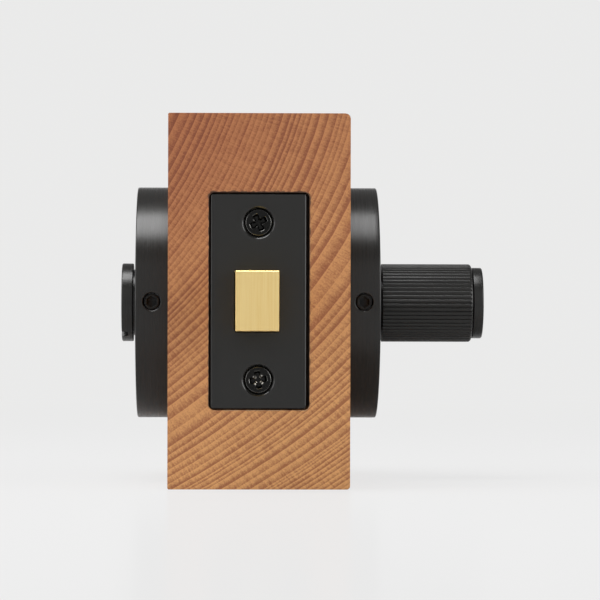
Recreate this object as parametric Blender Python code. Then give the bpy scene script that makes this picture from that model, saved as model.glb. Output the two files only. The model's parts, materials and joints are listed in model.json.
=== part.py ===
"""A privacy thumb turn set, fitted in a sample block of door.

The door's thickness runs along X, with the fluted thumb turn at +X and the coin release at -X.
The door's edge faces -Y and Z is up. The origin is the middle of the block's underside.
At rest the bolt is thrown. The turn, its spindle, the release and the follower turn together
about an X axis, and the follower's arm draws the bolt back along +Y.
All sizes are in metres.
"""

import math

import bmesh
import bpy

# Clearances
SEAT_GAP = 0.0003  # between a piece and the seat that carries it
SQUARE_PLAY = 0.00015  # between the square spindle and its sockets, on each side
OVERCUT = 0.002  # how far a cutter runs past the face that it opens

# Sample block of door
BLOCK_WIDTH = 0.0483
BLOCK_HEIGHT = 0.0995
BLOCK_DEPTH = 0.100
ROUNDED_ARRIS_TOP = 0.0014
ROUNDED_ARRIS_BOTTOM = 0.0009
SHARP_ARRIS = 0.0004
BACKSET = 0.060
CROSS_HOLE_PLAY = 0.0012

# Latch faceplate, its backing plate and the recess that takes both
PLATE_WIDTH = 0.0254
PLATE_HEIGHT = 0.057
PLATE_THICKNESS = 0.0025
PLATE_CORNER = 0.0004
PLATE_SINK = 0.0001
BACKING_THICKNESS = 0.0012
BACKING_MARGIN = 0.0004
RECESS_SIDE_PLAY = 0.0006
RECESS_CORNER = 0.0014
PLATE_OFFSET = -0.0002  # the plate sits this far off the middle of its recess
LATCH_OFFSET = -0.0006  # and the latch with its bolt this far off the middle of the door
APERTURE_PLAY = 0.0003

# Faceplate screws
SCREW_INSET = 0.0077  # from each end of the faceplate to its screw
SCREW_HEAD_RADIUS = 0.0035
SCREW_HEAD_SINK = 0.0005
SCREW_SHANK_RADIUS = 0.0018
SCREW_LENGTH = 0.022
SCREW_POINT = 0.004
CROSS_SPAN = 0.0044
CROSS_ARM = 0.0014
CROSS_DEPTH = 0.0013
CROSS_TAPER = 0.55
UPPER_CROSS_TURN = 25.0
LOWER_CROSS_TURN = 8.0
COUNTERSINK_MARGIN = 0.0007

# Bolt and its throw
BOLT_WIDTH = 0.01135
BOLT_HEIGHT = 0.0158
BOLT_EDGE = 0.00035
THROW = 0.0125
TAIL_THICKNESS = 0.005
TAIL_IN_BOLT = 0.014
TAIL_HALF_HEIGHT = 0.005
TAIL_NECK_LOW = 0.001
TAIL_NECK_HIGH = 0.008
TAIL_SLOPE = 0.0025
TAIL_END_WALL = 0.0024
TAIL_BRIDGE = 0.0013
BOLT_PIN_RADIUS = 0.0015
BOLT_PIN_FROM_END = 0.005

# Follower, which turns in the latch case and moves the bolt
FOLLOWER_RADIUS = 0.0056
FOLLOWER_SHOULDER = 0.0007
FOLLOWER_FLAT = 0.0003  # depth of the two flats that the spring bears on
ARM_NOSE_RADIUS = 0.0013
ARM_NECK_HALF = 0.00055
ARM_ROOT_HALF = 0.0020
NOTCH_PLAY = 0.0005

# Latch case
TUBE_PLAY = 0.0004
TUBE_WALL = 0.0016
TUBE_TO_TAIL_STEP = 0.0012
CASE_BEYOND_AXIS = 0.025
CHEEK_THICKNESS = 0.0012
CHEEK_CLEAR_HALF = 0.0052
CHEEK_IN_TUBE = 0.003
RIVET_RADIUS = 0.0012
RIVET_HEAD_RADIUS = 0.0019
RIVET_HEAD_HEIGHT = 0.0005
RIVET_REACH = 0.015  # along the case, on each side of the follower's axis
REAR_RIVET_REACH = 0.0206
REAR_RIVET_HEIGHT = 0.0025
SPRING_THICKNESS = 0.0004
SPRING_WIDTH = 0.006
SPRING_OVERHANG = 0.002

# Roses and the mounting plates inside them
ROSE_RADIUS = 0.0325
ROSE_THICKNESS = 0.00915
ROSE_WALL = 0.004
ROSE_FACE_THICKNESS = 0.002
ROSE_EDGE = 0.0004
BOLT_CENTRES = 0.038
GRUB_HOLE_RADIUS = 0.0025
GRUB_SINK = 0.0005
GRUB_CHAMFER = 0.0004
GRUB_SOCKET_FLATS = 0.0025
GRUB_SOCKET_DEPTH = 0.0018

# Bearings on both sides
JOURNAL_RADIUS = 0.006
STEM_IN_DOOR = 0.004
BUSH_WALL = 0.0017
BUSH_FLANGE_RADIUS = 0.0092
BUSH_FLANGE_THICKNESS = 0.001
WASHER_THICKNESS = 0.0003
WASHER_INSET = 0.0003
CLIP_THICKNESS = 0.0008
CLIP_WIDTH = 0.0032
CLIP_OPENING = 70.0
GROOVE_DEPTH = 0.0007

# Thumb turn
TURN_COLLAR_RADIUS = 0.0095
TURN_RUN_GAP = 0.00165  # between the rose's face and the grip
TURN_RADIUS = 0.011
TURN_LENGTH = 0.0254
TURN_CORE_RADIUS = 0.0075
TURN_END_ROUND = 0.0009
FLUTE_COUNT = 56
FLUTE_DEPTH = 0.0004
FLUTE_CREST = 0.4  # share of each pitch that stays at full radius
CAP_RADIUS = 0.010
CAP_THICKNESS = 0.0027
CAP_EDGE = 0.0005
CAP_STUD_RADIUS = 0.003
CAP_STUD_LENGTH = 0.010
TURN_SOCKET_DEPTH = 0.020

# Coin release
RELEASE_COLLAR_RADIUS = 0.0093
RELEASE_RUN_GAP = 0.00125  # between the rose's face and the disc
RELEASE_RADIUS = 0.011
RELEASE_THICKNESS = 0.0032
RELEASE_EDGE = 0.0004
RELEASE_FLOOR = 0.001  # solid metal between the spindle's socket and the disc
COIN_SLOT_WIDTH = 0.002
COIN_SLOT_DEPTH = 0.0018
COIN_SLOT_ANGLE = 54.5  # below the horizontal, towards the door's edge

# Spindle and through bolts
SPINDLE_SIDE = 0.005
SPINDLE_EDGE = 0.0003
SPINDLE_END_PLAY = 0.001
THROUGH_BOLT_RADIUS = 0.002
THREAD_ENGAGEMENT = 0.005
THROUGH_HEAD_RADIUS = 0.0039
THROUGH_SOCKET_FLATS = 0.0025
THROUGH_SOCKET_DEPTH = 0.0015
POST_RADIUS = 0.0035
POST_LENGTH = 0.026
POST_FLANGE_RADIUS = 0.0046
POST_FLANGE_THICKNESS = 0.001
POST_FLANGE_SINK = 0.0002

# Sides on the round pieces
ROSE_SIDES = 54
GRIP_SIDES = 42
BORE_SIDES = 28
SMALL_SIDES = 16
RIVET_SIDES = 12
CORNER_STEPS = 4
GRIP_END_STEPS = 2
SPRING_STEPS = 10

# Heights from the door's middle plane that follow from the sizes above
HALF_BLOCK = BLOCK_WIDTH / 2
DOOR_FACE = HALF_BLOCK + SEAT_GAP
ROSE_FACE = DOOR_FACE + ROSE_THICKNESS
ROSE_UNDER_FACE = ROSE_FACE - ROSE_FACE_THICKNESS
GRUB_HEIGHT = DOOR_FACE + ROSE_THICKNESS / 2
MOUNT_TOP = ROSE_UNDER_FACE - SEAT_GAP
FLANGE_LOW = MOUNT_TOP - BUSH_FLANGE_THICKNESS
WASHER_LOW = MOUNT_TOP + SEAT_GAP
COLLAR_LOW = WASHER_LOW + WASHER_THICKNESS + SEAT_GAP
CLIP_TOP = HALF_BLOCK - SEAT_GAP
STEM_INNER_END = HALF_BLOCK - STEM_IN_DOOR
TURN_BASE = ROSE_FACE + TURN_RUN_GAP
TURN_TOP = TURN_BASE + TURN_LENGTH
CAP_BASE = TURN_TOP + SEAT_GAP
CORE_TOP = TURN_TOP - SEAT_GAP
TURN_SOCKET_END = STEM_INNER_END + TURN_SOCKET_DEPTH
RELEASE_BASE = ROSE_FACE + RELEASE_RUN_GAP
RELEASE_TOP = RELEASE_BASE + RELEASE_THICKNESS
RELEASE_SOCKET_END = RELEASE_BASE - RELEASE_FLOOR
POST_TOP = MOUNT_TOP - POST_FLANGE_SINK
POST_OPEN_END = POST_TOP - POST_LENGTH
THROUGH_HEAD_TOP = MOUNT_TOP - SEAT_GAP

# Spacing of the faceplate's screws, and radii that follow
PLATE_SCREW_SPACING = PLATE_HEIGHT - 2 * SCREW_INSET
MOUNT_RADIUS = ROSE_RADIUS - ROSE_WALL - SEAT_GAP
BUSH_INNER = JOURNAL_RADIUS + SEAT_GAP
BUSH_OUTER = BUSH_INNER + BUSH_WALL
GROOVE_RADIUS = JOURNAL_RADIUS - GROOVE_DEPTH
CLIP_INNER = GROOVE_RADIUS + SEAT_GAP
CLIP_OUTER = CLIP_INNER + CLIP_WIDTH
CROSS_HOLE_RADIUS = CLIP_OUTER + CROSS_HOLE_PLAY
FOLLOWER_JOURNAL = FOLLOWER_RADIUS - FOLLOWER_SHOULDER
SCREW_HEAD_HEIGHT = SCREW_HEAD_RADIUS - SCREW_SHANK_RADIUS  # 90 degree heads
THROUGH_HEAD_HEIGHT = THROUGH_HEAD_RADIUS - THROUGH_BOLT_RADIUS

# The bolt's drive: a quarter turn carries the nose of the arm through the throw
ARM_RADIUS = THROW / math.sqrt(2)
NOSE_DEPTH = BACKSET - THROW / 2
NOTCH_HALF = ARM_NOSE_RADIUS + NOTCH_PLAY
NOTCH_TOP = ARM_RADIUS + ARM_NOSE_RADIUS + SEAT_GAP
TAIL_BAR_LOW = FOLLOWER_RADIUS + SEAT_GAP
TAIL_BAR_HIGH = NOTCH_TOP + TAIL_BRIDGE

# Depths from the door's edge that follow
BACKING_DEPTH = PLATE_SINK + PLATE_THICKNESS + SEAT_GAP
RECESS_DEPTH = BACKING_DEPTH + BACKING_THICKNESS + SEAT_GAP
TAIL_STEP_DEPTH = BACKSET - FOLLOWER_RADIUS - SEAT_GAP - THROW
TUBE_END_DEPTH = TAIL_STEP_DEPTH - TAIL_SLOPE - TUBE_TO_TAIL_STEP
CHEEK_FRONT_DEPTH = TUBE_END_DEPTH - CHEEK_IN_TUBE
BOLT_FRONT = PLATE_SINK - THROW
BOLT_REAR = CHEEK_FRONT_DEPTH - SEAT_GAP - THROW
CASE_END_DEPTH = BACKSET + CASE_BEYOND_AXIS

# The latch's bore, sized by what moves inside it
BOLT_SWEEP = math.hypot(BOLT_WIDTH / 2, BOLT_HEIGHT / 2) + SEAT_GAP
TAIL_SWEEP = math.hypot(TAIL_THICKNESS / 2, TAIL_BAR_HIGH) + SEAT_GAP
TUBE_RADIUS = max(BOLT_SWEEP + TUBE_WALL, TAIL_SWEEP)
LATCH_BORE_RADIUS = TUBE_RADIUS + TUBE_PLAY
CHEEK_OUTER = CHEEK_CLEAR_HALF + CHEEK_THICKNESS
CHEEK_HALF_HEIGHT = math.sqrt(TUBE_RADIUS**2 - CHEEK_OUTER**2)
RIVET_HEAD_LOW = CHEEK_OUTER + SEAT_GAP
RIVET_HEAD_TOP = RIVET_HEAD_LOW + RIVET_HEAD_HEIGHT
RIVET_LEVEL = math.sqrt(TUBE_RADIUS**2 - RIVET_HEAD_TOP**2) - RIVET_HEAD_RADIUS


def clear_scene():
    for thing in list(bpy.data.objects):
        bpy.data.objects.remove(thing)


def make_material(name, colour, roughness, metallic):
    material = bpy.data.materials.new(name)
    material.use_nodes = True
    shader = material.node_tree.nodes["Principled BSDF"]
    shader.inputs["Base Color"].default_value = (*colour, 1.0)
    shader.inputs["Roughness"].default_value = roughness
    shader.inputs["Metallic"].default_value = metallic
    return material


def make_frame(name, place, turn=(0, 0, 0), parent=None):
    """An empty that a group of pieces is placed from; turn is in degrees."""
    frame = bpy.data.objects.new(name, None)
    frame.location = place
    frame.rotation_euler = [math.radians(angle) for angle in turn]
    frame.parent = parent
    bpy.context.scene.collection.objects.link(frame)
    return frame


def make_solid(name, shape, frame, material=None, place=(0, 0, 0), turn=(0, 0, 0), smooth=False):
    """An object from a bmesh, placed in a frame. Without a material it is a cutter, out of the render."""
    bmesh.ops.recalc_face_normals(shape, faces=shape.faces)
    mesh = bpy.data.meshes.new(name)
    shape.to_mesh(mesh)
    shape.free()
    if smooth:
        mesh.shade_smooth()
        mesh.set_sharp_from_angle(angle=math.radians(35))
    solid = bpy.data.objects.new(name, mesh)
    solid.parent = frame
    solid.location = place
    solid.rotation_euler = [math.radians(angle) for angle in turn]
    bpy.context.scene.collection.objects.link(solid)
    if material:
        mesh.materials.append(material)
    else:
        solid.hide_render = True
        solid.display_type = "WIRE"
    return solid


def combine(solid, operation, *others):
    for other in others:
        modifier = solid.modifiers.new(other.name, "BOOLEAN")
        modifier.operation = operation
        modifier.object = other
    return solid


def cut(solid, *cutters):
    return combine(solid, "DIFFERENCE", *cutters)


def soften(solid, width, segments=2):
    bevel = solid.modifiers.new("edge", "BEVEL")
    bevel.width = width
    bevel.segments = segments
    bevel.limit_method = "ANGLE"
    return solid


def arc(centre, radius, start, stop, steps):
    """Points on an arc from start to stop, in degrees, both ends included."""
    angles = [math.radians(start + (stop - start) * i / steps) for i in range(steps + 1)]
    return [(centre[0] + radius * math.cos(a), centre[1] + radius * math.sin(a)) for a in angles]


def rounded_rectangle(width, height, radii):
    """An outline about the middle, with a radius for each corner, anticlockwise from the upper right."""
    signs = ((1, 1), (-1, 1), (-1, -1), (1, -1))
    outline = []
    for index, (radius, (right, up)) in enumerate(zip(radii, signs)):
        centre = (right * (width / 2 - radius), up * (height / 2 - radius))
        outline += arc(centre, radius, 90 * index, 90 * index + 90, CORNER_STEPS)
    return outline


def regular_outline(radius, sides, turn=0.0):
    return arc((0, 0), radius, turn, turn + 360 * (sides - 1) / sides, sides - 1)


def square_outline(side):
    return regular_outline(side / math.sqrt(2), 4, 45)


def hexagon_outline(flats):
    return regular_outline(flats / math.sqrt(3), 6)


def prism(outline, low, high):
    """The outline, in local X and Y, extruded from low to high along Z."""
    shape = bmesh.new()
    base = shape.faces.new([shape.verts.new((x, y, low)) for x, y in outline])
    extruded = bmesh.ops.extrude_face_region(shape, geom=[base], use_keep_orig=True)
    moved = [item for item in extruded["geom"] if isinstance(item, bmesh.types.BMVert)]
    bmesh.ops.translate(shape, verts=moved, vec=(0, 0, high - low))
    return shape


def turned(profile, sides):
    """A half section of (radius, height) pairs, spun about Z: a closed loop unless it starts on the axis."""
    shape = bmesh.new()
    points = [shape.verts.new((radius, 0, height)) for radius, height in profile]
    pairs = list(zip(points, points[1:]))
    if profile[0][0] > 0:
        pairs.append((points[-1], points[0]))
    edges = [shape.edges.new(pair) for pair in pairs]
    bmesh.ops.spin(
        shape, geom=points + edges, axis=(0, 0, 1), cent=(0, 0, 0), angle=math.tau, steps=sides
    )
    bmesh.ops.remove_doubles(shape, verts=shape.verts, dist=1e-7)
    return shape


def rod(radius, low, high, sides=SMALL_SIDES):
    return turned([(0, low), (radius, low), (radius, high), (0, high)], sides)


def ring(inner, outer, low, high, sides=BORE_SIDES):
    return turned([(inner, low), (outer, low), (outer, high), (inner, high)], sides)


def tapered_prism(outline, low, high, share):
    """A prism whose outline shrinks to a share of itself at its low end."""
    shape = prism(outline, low, high)
    for point in shape.verts:
        if point.co.z < (low + high) / 2:
            point.co.x *= share
            point.co.y *= share
    return shape


def countersink_profile(head_radius, hole_radius, mouth, depth):
    """Half section of a countersunk hole's cutter, from its mouth down through the plate."""
    return [
        (0, mouth - depth),
        (hole_radius, mouth - depth),
        (hole_radius, mouth - (head_radius - hole_radius)),
        (head_radius, mouth),
        (head_radius + OVERCUT, mouth + OVERCUT),
        (0, mouth + OVERCUT),
    ]


def build_door_block(edge, plates, latch, turn_axis, wood):
    """The piece of door: recessed for the plates, bored for the latch and cross-drilled for the turn."""
    radii = (ROUNDED_ARRIS_TOP, SHARP_ARRIS, SHARP_ARRIS, ROUNDED_ARRIS_BOTTOM)
    outline = rounded_rectangle(BLOCK_WIDTH, BLOCK_HEIGHT, radii)
    block = make_solid("door_block", prism(outline, -BLOCK_DEPTH, 0), edge, wood)
    recess_outline = rounded_rectangle(
        PLATE_WIDTH + 2 * RECESS_SIDE_PLAY, PLATE_HEIGHT + 2 * SEAT_GAP, [RECESS_CORNER] * 4
    )
    recess = make_solid("cut_recess", prism(recess_outline, -RECESS_DEPTH, OVERCUT), edge)
    bore_end = CASE_END_DEPTH + OVERCUT
    bore = make_solid("cut_latch_bore", rod(LATCH_BORE_RADIUS, -bore_end, OVERCUT, BORE_SIDES), latch)
    cut(block, recess, bore)
    reach = HALF_BLOCK + OVERCUT
    cross = make_solid("cut_cross_hole", rod(CROSS_HOLE_RADIUS, -reach, reach, BORE_SIDES), turn_axis)
    cut(block, cross)
    for side, word in ((1, "upper"), (-1, "lower")):
        pilot = make_solid(
            f"cut_pilot_{word}",
            rod(SCREW_SHANK_RADIUS + SEAT_GAP, -SCREW_LENGTH - OVERCUT, OVERCUT),
            plates,
            place=(0, side * PLATE_SCREW_SPACING / 2, 0),
        )
        through = make_solid(
            f"cut_through_{word}",
            rod(POST_RADIUS + SEAT_GAP, -reach, reach),
            turn_axis,
            place=(-side * BOLT_CENTRES / 2, 0, 0),
        )
        cut(block, pilot, through)
    return block


def build_plate(name, width, height, corner, front, thickness, hole_profile, plates, latch, material):
    """A flat plate of the latch's front, with the bolt's aperture and the two screw holes."""
    outline = rounded_rectangle(width, height, [corner] * 4)
    plate = make_solid(name, prism(outline, -front - thickness, -front), plates, material)
    window = rounded_rectangle(
        BOLT_WIDTH + 2 * APERTURE_PLAY, BOLT_HEIGHT + 2 * APERTURE_PLAY, [BOLT_EDGE] * 4
    )
    low, high = -front - thickness - OVERCUT, OVERCUT
    cut(plate, make_solid(f"cut_{name}_window", prism(window, low, high), latch))
    for side, word in ((1, "upper"), (-1, "lower")):
        hole = make_solid(
            f"cut_{name}_{word}",
            turned(hole_profile, SMALL_SIDES),
            plates,
            place=(0, side * PLATE_SCREW_SPACING / 2, 0),
        )
        cut(plate, hole)
    return plate


def build_plates(plates, latch, black, steel):
    hole = SCREW_SHANK_RADIUS + SEAT_GAP
    mouth = SCREW_HEAD_RADIUS + COUNTERSINK_MARGIN + SEAT_GAP
    depth = PLATE_THICKNESS + OVERCUT
    build_plate(
        "faceplate",
        PLATE_WIDTH,
        PLATE_HEIGHT,
        PLATE_CORNER,
        PLATE_SINK,
        PLATE_THICKNESS,
        countersink_profile(mouth, hole, -PLATE_SINK, depth),
        plates,
        latch,
        black,
    )
    build_plate(
        "latch_backing_plate",
        PLATE_WIDTH - 2 * BACKING_MARGIN,
        PLATE_HEIGHT - 2 * BACKING_MARGIN,
        PLATE_CORNER,
        BACKING_DEPTH,
        BACKING_THICKNESS,
        [(0, -RECESS_DEPTH - OVERCUT), (hole, -RECESS_DEPTH - OVERCUT), (hole, OVERCUT), (0, OVERCUT)],
        plates,
        latch,
        steel,
    )


def cross_outline(span, arm):
    """A plus sign, anticlockwise, for a screwdriver's recess."""
    half, side = span / 2, arm / 2
    quarter = [(half, -side), (half, side), (side, side)]
    points = []
    for index in range(4):
        c, s = ((1, 0), (0, 1), (-1, 0), (0, -1))[index]
        points += [(x * c - y * s, x * s + y * c) for x, y in quarter]
    return points


def build_plate_screws(plates, black):
    """Two countersunk wood screws, each with its cross recess turned its own way."""
    top = -PLATE_SINK - SCREW_HEAD_SINK
    profile = [
        (0, top),
        (SCREW_HEAD_RADIUS, top),
        (SCREW_SHANK_RADIUS, top - SCREW_HEAD_HEIGHT),
        (SCREW_SHANK_RADIUS, top - SCREW_LENGTH + SCREW_POINT),
        (0, top - SCREW_LENGTH),
    ]
    turns = {"upper": UPPER_CROSS_TURN, "lower": LOWER_CROSS_TURN}
    for side, word in ((1, "upper"), (-1, "lower")):
        place = (0, side * PLATE_SCREW_SPACING / 2, 0)
        screw = make_solid(
            f"faceplate_screw_{word}", turned(profile, SMALL_SIDES), plates, black, place, smooth=True
        )
        recess = make_solid(
            f"cut_cross_{word}",
            tapered_prism(
                cross_outline(CROSS_SPAN, CROSS_ARM), top - CROSS_DEPTH, top + OVERCUT, CROSS_TAPER
            ),
            plates,
            place=place,
            turn=(0, 0, turns[word]),
        )
        cut(screw, recess)


def build_bolt(latch, brass, steel):
    """The brass bolt, slotted at the back for its steel tail, and the pin that joins them."""
    outline = rounded_rectangle(BOLT_WIDTH, BOLT_HEIGHT, [BOLT_EDGE] * 4)
    bolt = make_solid("bolt", prism(outline, -BOLT_REAR, -BOLT_FRONT), latch, brass)
    soften(bolt, BOLT_EDGE)
    # In the side frame X runs into the door, Y up and Z across it
    side = make_frame("bolt_side_frame", (0, 0, 0), (0, 90, 0), latch)
    slot_half = TAIL_THICKNESS / 2 + SEAT_GAP
    slot = rounded_rectangle(2 * slot_half, BOLT_HEIGHT + 2 * OVERCUT, [BOLT_EDGE] * 4)
    slot_cutter = make_solid(
        "cut_bolt_slot", prism(slot, -BOLT_REAR - OVERCUT, -BOLT_REAR + TAIL_IN_BOLT), latch
    )
    pin_place = (BOLT_REAR - BOLT_PIN_FROM_END, 0, 0)
    pin_hole = make_solid(
        "cut_bolt_pin",
        rod(BOLT_PIN_RADIUS + SEAT_GAP, -BOLT_WIDTH, BOLT_WIDTH),
        side,
        place=pin_place,
    )
    cut(bolt, slot_cutter, pin_hole)
    pin_half = BOLT_WIDTH / 2 - SEAT_GAP
    pin = rod(BOLT_PIN_RADIUS, -pin_half, pin_half)
    make_solid("bolt_pin", pin, side, steel, pin_place, smooth=True)
    blank = prism(tail_outline(), -TAIL_THICKNESS / 2, TAIL_THICKNESS / 2)
    cut(make_solid("bolt_tail", blank, side, steel), pin_hole)


def tail_outline():
    """The stamped tail seen from the turn's side, as (depth into the door, height) pairs."""
    front = BOLT_REAR - TAIL_IN_BOLT + SEAT_GAP
    shoulder = BOLT_REAR + TAIL_SLOPE
    notch_start, notch_end = NOSE_DEPTH - NOTCH_HALF, NOSE_DEPTH + NOTCH_HALF
    rear = notch_end + TAIL_END_WALL
    return [
        (front, -TAIL_HALF_HEIGHT),
        (BOLT_REAR, -TAIL_HALF_HEIGHT),
        (shoulder, TAIL_NECK_LOW),
        (TAIL_STEP_DEPTH - TAIL_SLOPE, TAIL_NECK_LOW),
        (TAIL_STEP_DEPTH, TAIL_BAR_LOW),
        (notch_start, TAIL_BAR_LOW),
        (notch_start, NOTCH_TOP),
        (notch_end, NOTCH_TOP),
        (notch_end, TAIL_BAR_LOW),
        (rear, TAIL_BAR_LOW),
        (rear, TAIL_BAR_HIGH - TAIL_BRIDGE),
        (rear - TAIL_BRIDGE, TAIL_BAR_HIGH),
        (TAIL_STEP_DEPTH, TAIL_BAR_HIGH),
        (TAIL_STEP_DEPTH - TAIL_SLOPE, TAIL_NECK_HIGH),
        (shoulder, TAIL_NECK_HIGH),
        (BOLT_REAR, TAIL_HALF_HEIGHT),
        (front, TAIL_HALF_HEIGHT),
    ]


def build_latch_case(latch, latch_across, steel):
    """The tube behind the plates, with one cheek and the end wall, and the cover plate riveted to it."""
    case = make_solid(
        "latch_case",
        ring(TUBE_RADIUS - TUBE_WALL, TUBE_RADIUS, -TUBE_END_DEPTH, -RECESS_DEPTH),
        latch,
        steel,
        smooth=True,
    )
    cheek_middle = (CHEEK_CLEAR_HALF + CHEEK_OUTER) / 2
    height = 2 * CHEEK_HALF_HEIGHT
    fillet = [SHARP_ARRIS] * 4
    cheek = make_solid(
        "join_cheek",
        prism(
            rounded_rectangle(CHEEK_THICKNESS, height, fillet),
            -CASE_END_DEPTH,
            -CHEEK_FRONT_DEPTH,
        ),
        latch,
        place=(cheek_middle, 0, 0),
    )
    wall_width = CHEEK_OUTER + CHEEK_CLEAR_HALF - SEAT_GAP - SHARP_ARRIS
    end_wall = make_solid(
        "join_end_wall",
        prism(
            rounded_rectangle(wall_width, height - 2 * SHARP_ARRIS, fillet),
            -CASE_END_DEPTH + SHARP_ARRIS / 2,
            -CASE_END_DEPTH + SHARP_ARRIS / 2 + CHEEK_THICKNESS,
        ),
        latch,
        place=(CHEEK_OUTER - SHARP_ARRIS - wall_width / 2, 0, 0),
    )
    combine(case, "UNION", cheek, end_wall)
    cover = make_solid(
        "latch_cover_plate",
        prism(
            rounded_rectangle(CHEEK_THICKNESS, height, fillet),
            -CASE_END_DEPTH,
            -TUBE_END_DEPTH - SEAT_GAP,
        ),
        latch,
        steel,
        place=(-cheek_middle, 0, 0),
    )
    across = CHEEK_OUTER + OVERCUT
    journal_hole = make_solid(
        "cut_journal",
        rod(FOLLOWER_JOURNAL + SEAT_GAP, -across, across, BORE_SIDES),
        latch_across,
    )
    cut(case, journal_hole)
    cut(cover, journal_hole)
    places = (
        (-RIVET_REACH, -RIVET_LEVEL),
        (RIVET_REACH, -RIVET_LEVEL),
        (REAR_RIVET_REACH, REAR_RIVET_HEIGHT),
    )
    half_section = [
        (0, -RIVET_HEAD_TOP),
        (RIVET_HEAD_RADIUS, -RIVET_HEAD_TOP),
        (RIVET_HEAD_RADIUS, -RIVET_HEAD_LOW),
        (RIVET_RADIUS, -RIVET_HEAD_LOW),
        (RIVET_RADIUS, RIVET_HEAD_LOW),
        (RIVET_HEAD_RADIUS, RIVET_HEAD_LOW),
        (RIVET_HEAD_RADIUS, RIVET_HEAD_TOP),
        (0, RIVET_HEAD_TOP),
    ]
    for index, (depth, height) in enumerate(places, start=1):
        place = (-height, depth, 0)
        hole = make_solid(
            f"cut_rivet_{index}",
            rod(RIVET_RADIUS + SEAT_GAP, -across, across, RIVET_SIDES),
            latch_across,
            place=place,
        )
        cut(case, hole)
        cut(cover, hole)
        rivet = turned(half_section, RIVET_SIDES)
        make_solid(f"case_rivet_{index}", rivet, latch_across, steel, place, smooth=True)


def build_detent_spring(latch_across, steel):
    """A leaf that lies across the two lower rivets and bows up under the follower."""
    half_length = RIVET_REACH + SPRING_OVERHANG
    end_level = -RIVET_LEVEL + RIVET_RADIUS + SEAT_GAP
    crown_level = -FOLLOWER_RADIUS - SEAT_GAP - SPRING_THICKNESS
    line = []
    for i in range(SPRING_STEPS + 1):
        along = -half_length + 2 * half_length * i / SPRING_STEPS
        bow = max(0.0, math.cos(math.pi / 2 * along / RIVET_REACH))
        line.append((along, end_level + (crown_level - end_level) * bow))
    upper = [(along, level + SPRING_THICKNESS) for along, level in reversed(line)]
    outline = [(-level, along) for along, level in line + upper]
    make_solid(
        "detent_spring", prism(outline, -SPRING_WIDTH / 2, SPRING_WIDTH / 2), latch_across, steel
    )


def build_follower(latch_across, steel):
    """The hub that the spindle turns, with its arm up and 45 degrees towards the door's edge at rest."""
    inner = CHEEK_CLEAR_HALF - SEAT_GAP
    outer = CHEEK_OUTER + SEAT_GAP
    profile = [(0, -outer), (FOLLOWER_JOURNAL, -outer), (FOLLOWER_JOURNAL, -inner)]
    profile += [(FOLLOWER_RADIUS, -inner), (FOLLOWER_RADIUS, inner), (FOLLOWER_JOURNAL, inner)]
    profile += [(FOLLOWER_JOURNAL, outer), (0, outer)]
    follower = make_solid("follower", turned(profile, BORE_SIDES), latch_across, steel, smooth=True)
    nose = arc((ARM_RADIUS, 0), ARM_NOSE_RADIUS, -150, 150, 12)
    arm_outline = [(0, -ARM_ROOT_HALF), (ARM_RADIUS - ARM_NOSE_RADIUS, -ARM_NECK_HALF), *nose]
    arm_outline += [(ARM_RADIUS - ARM_NOSE_RADIUS, ARM_NECK_HALF), (0, ARM_ROOT_HALF)]
    arm = make_solid(
        "join_arm",
        prism(arm_outline, -TAIL_THICKNESS / 2, TAIL_THICKNESS / 2),
        latch_across,
        turn=(0, 0, 180 + 45),
    )
    combine(follower, "UNION", arm)
    socket = square_outline(SPINDLE_SIDE + 2 * SQUARE_PLAY)
    reach = outer + OVERCUT
    cut(follower, make_solid("cut_follower_square", prism(socket, -reach, reach), latch_across))
    # One flat faces down on the spring at each end of the quarter turn
    flat_outline = [
        (FOLLOWER_RADIUS - FOLLOWER_FLAT, -FOLLOWER_RADIUS),
        (FOLLOWER_RADIUS + OVERCUT, -FOLLOWER_RADIUS),
        (FOLLOWER_RADIUS + OVERCUT, FOLLOWER_RADIUS),
        (FOLLOWER_RADIUS - FOLLOWER_FLAT, FOLLOWER_RADIUS),
    ]
    for word, facing in (("thrown", 0), ("drawn", 90)):
        flat = prism(flat_outline, -inner, inner)
        cutter = make_solid(f"cut_flat_{word}", flat, latch_across, turn=(0, 0, facing))
        cut(follower, cutter)


def build_spindle(turn_axis, steel):
    """The square spindle, from the release's socket to the thumb turn's."""
    low = -(RELEASE_SOCKET_END - SPINDLE_END_PLAY)
    high = TURN_SOCKET_END - SPINDLE_END_PLAY
    spindle = make_solid("spindle", prism(square_outline(SPINDLE_SIDE), low, high), turn_axis, steel)
    soften(spindle, SPINDLE_EDGE, 1)


def build_rose(name, collar, side, black):
    """A turned cover, hollow behind, with a tapped hole in its rim for the grub screw."""
    inner = MOUNT_RADIUS + SEAT_GAP
    hole = collar + SEAT_GAP
    profile = [
        (inner, DOOR_FACE),
        (ROSE_RADIUS, DOOR_FACE),
        (ROSE_RADIUS, ROSE_FACE - ROSE_EDGE),
        (ROSE_RADIUS - ROSE_EDGE, ROSE_FACE),
        (hole, ROSE_FACE),
        (hole, ROSE_UNDER_FACE),
        (inner, ROSE_UNDER_FACE),
    ]
    rose = make_solid(name, turned(profile, ROSE_SIDES), side, black, smooth=True)
    towards_edge = make_frame(f"{name}_grub_frame", (0, 0, GRUB_HEIGHT), (90, 0, 0), side)
    hole_cutter = make_solid(
        f"cut_{name}_grub",
        rod(GRUB_HOLE_RADIUS, MOUNT_RADIUS - OVERCUT, ROSE_RADIUS + OVERCUT),
        towards_edge,
    )
    cut(rose, hole_cutter)
    return towards_edge


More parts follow.
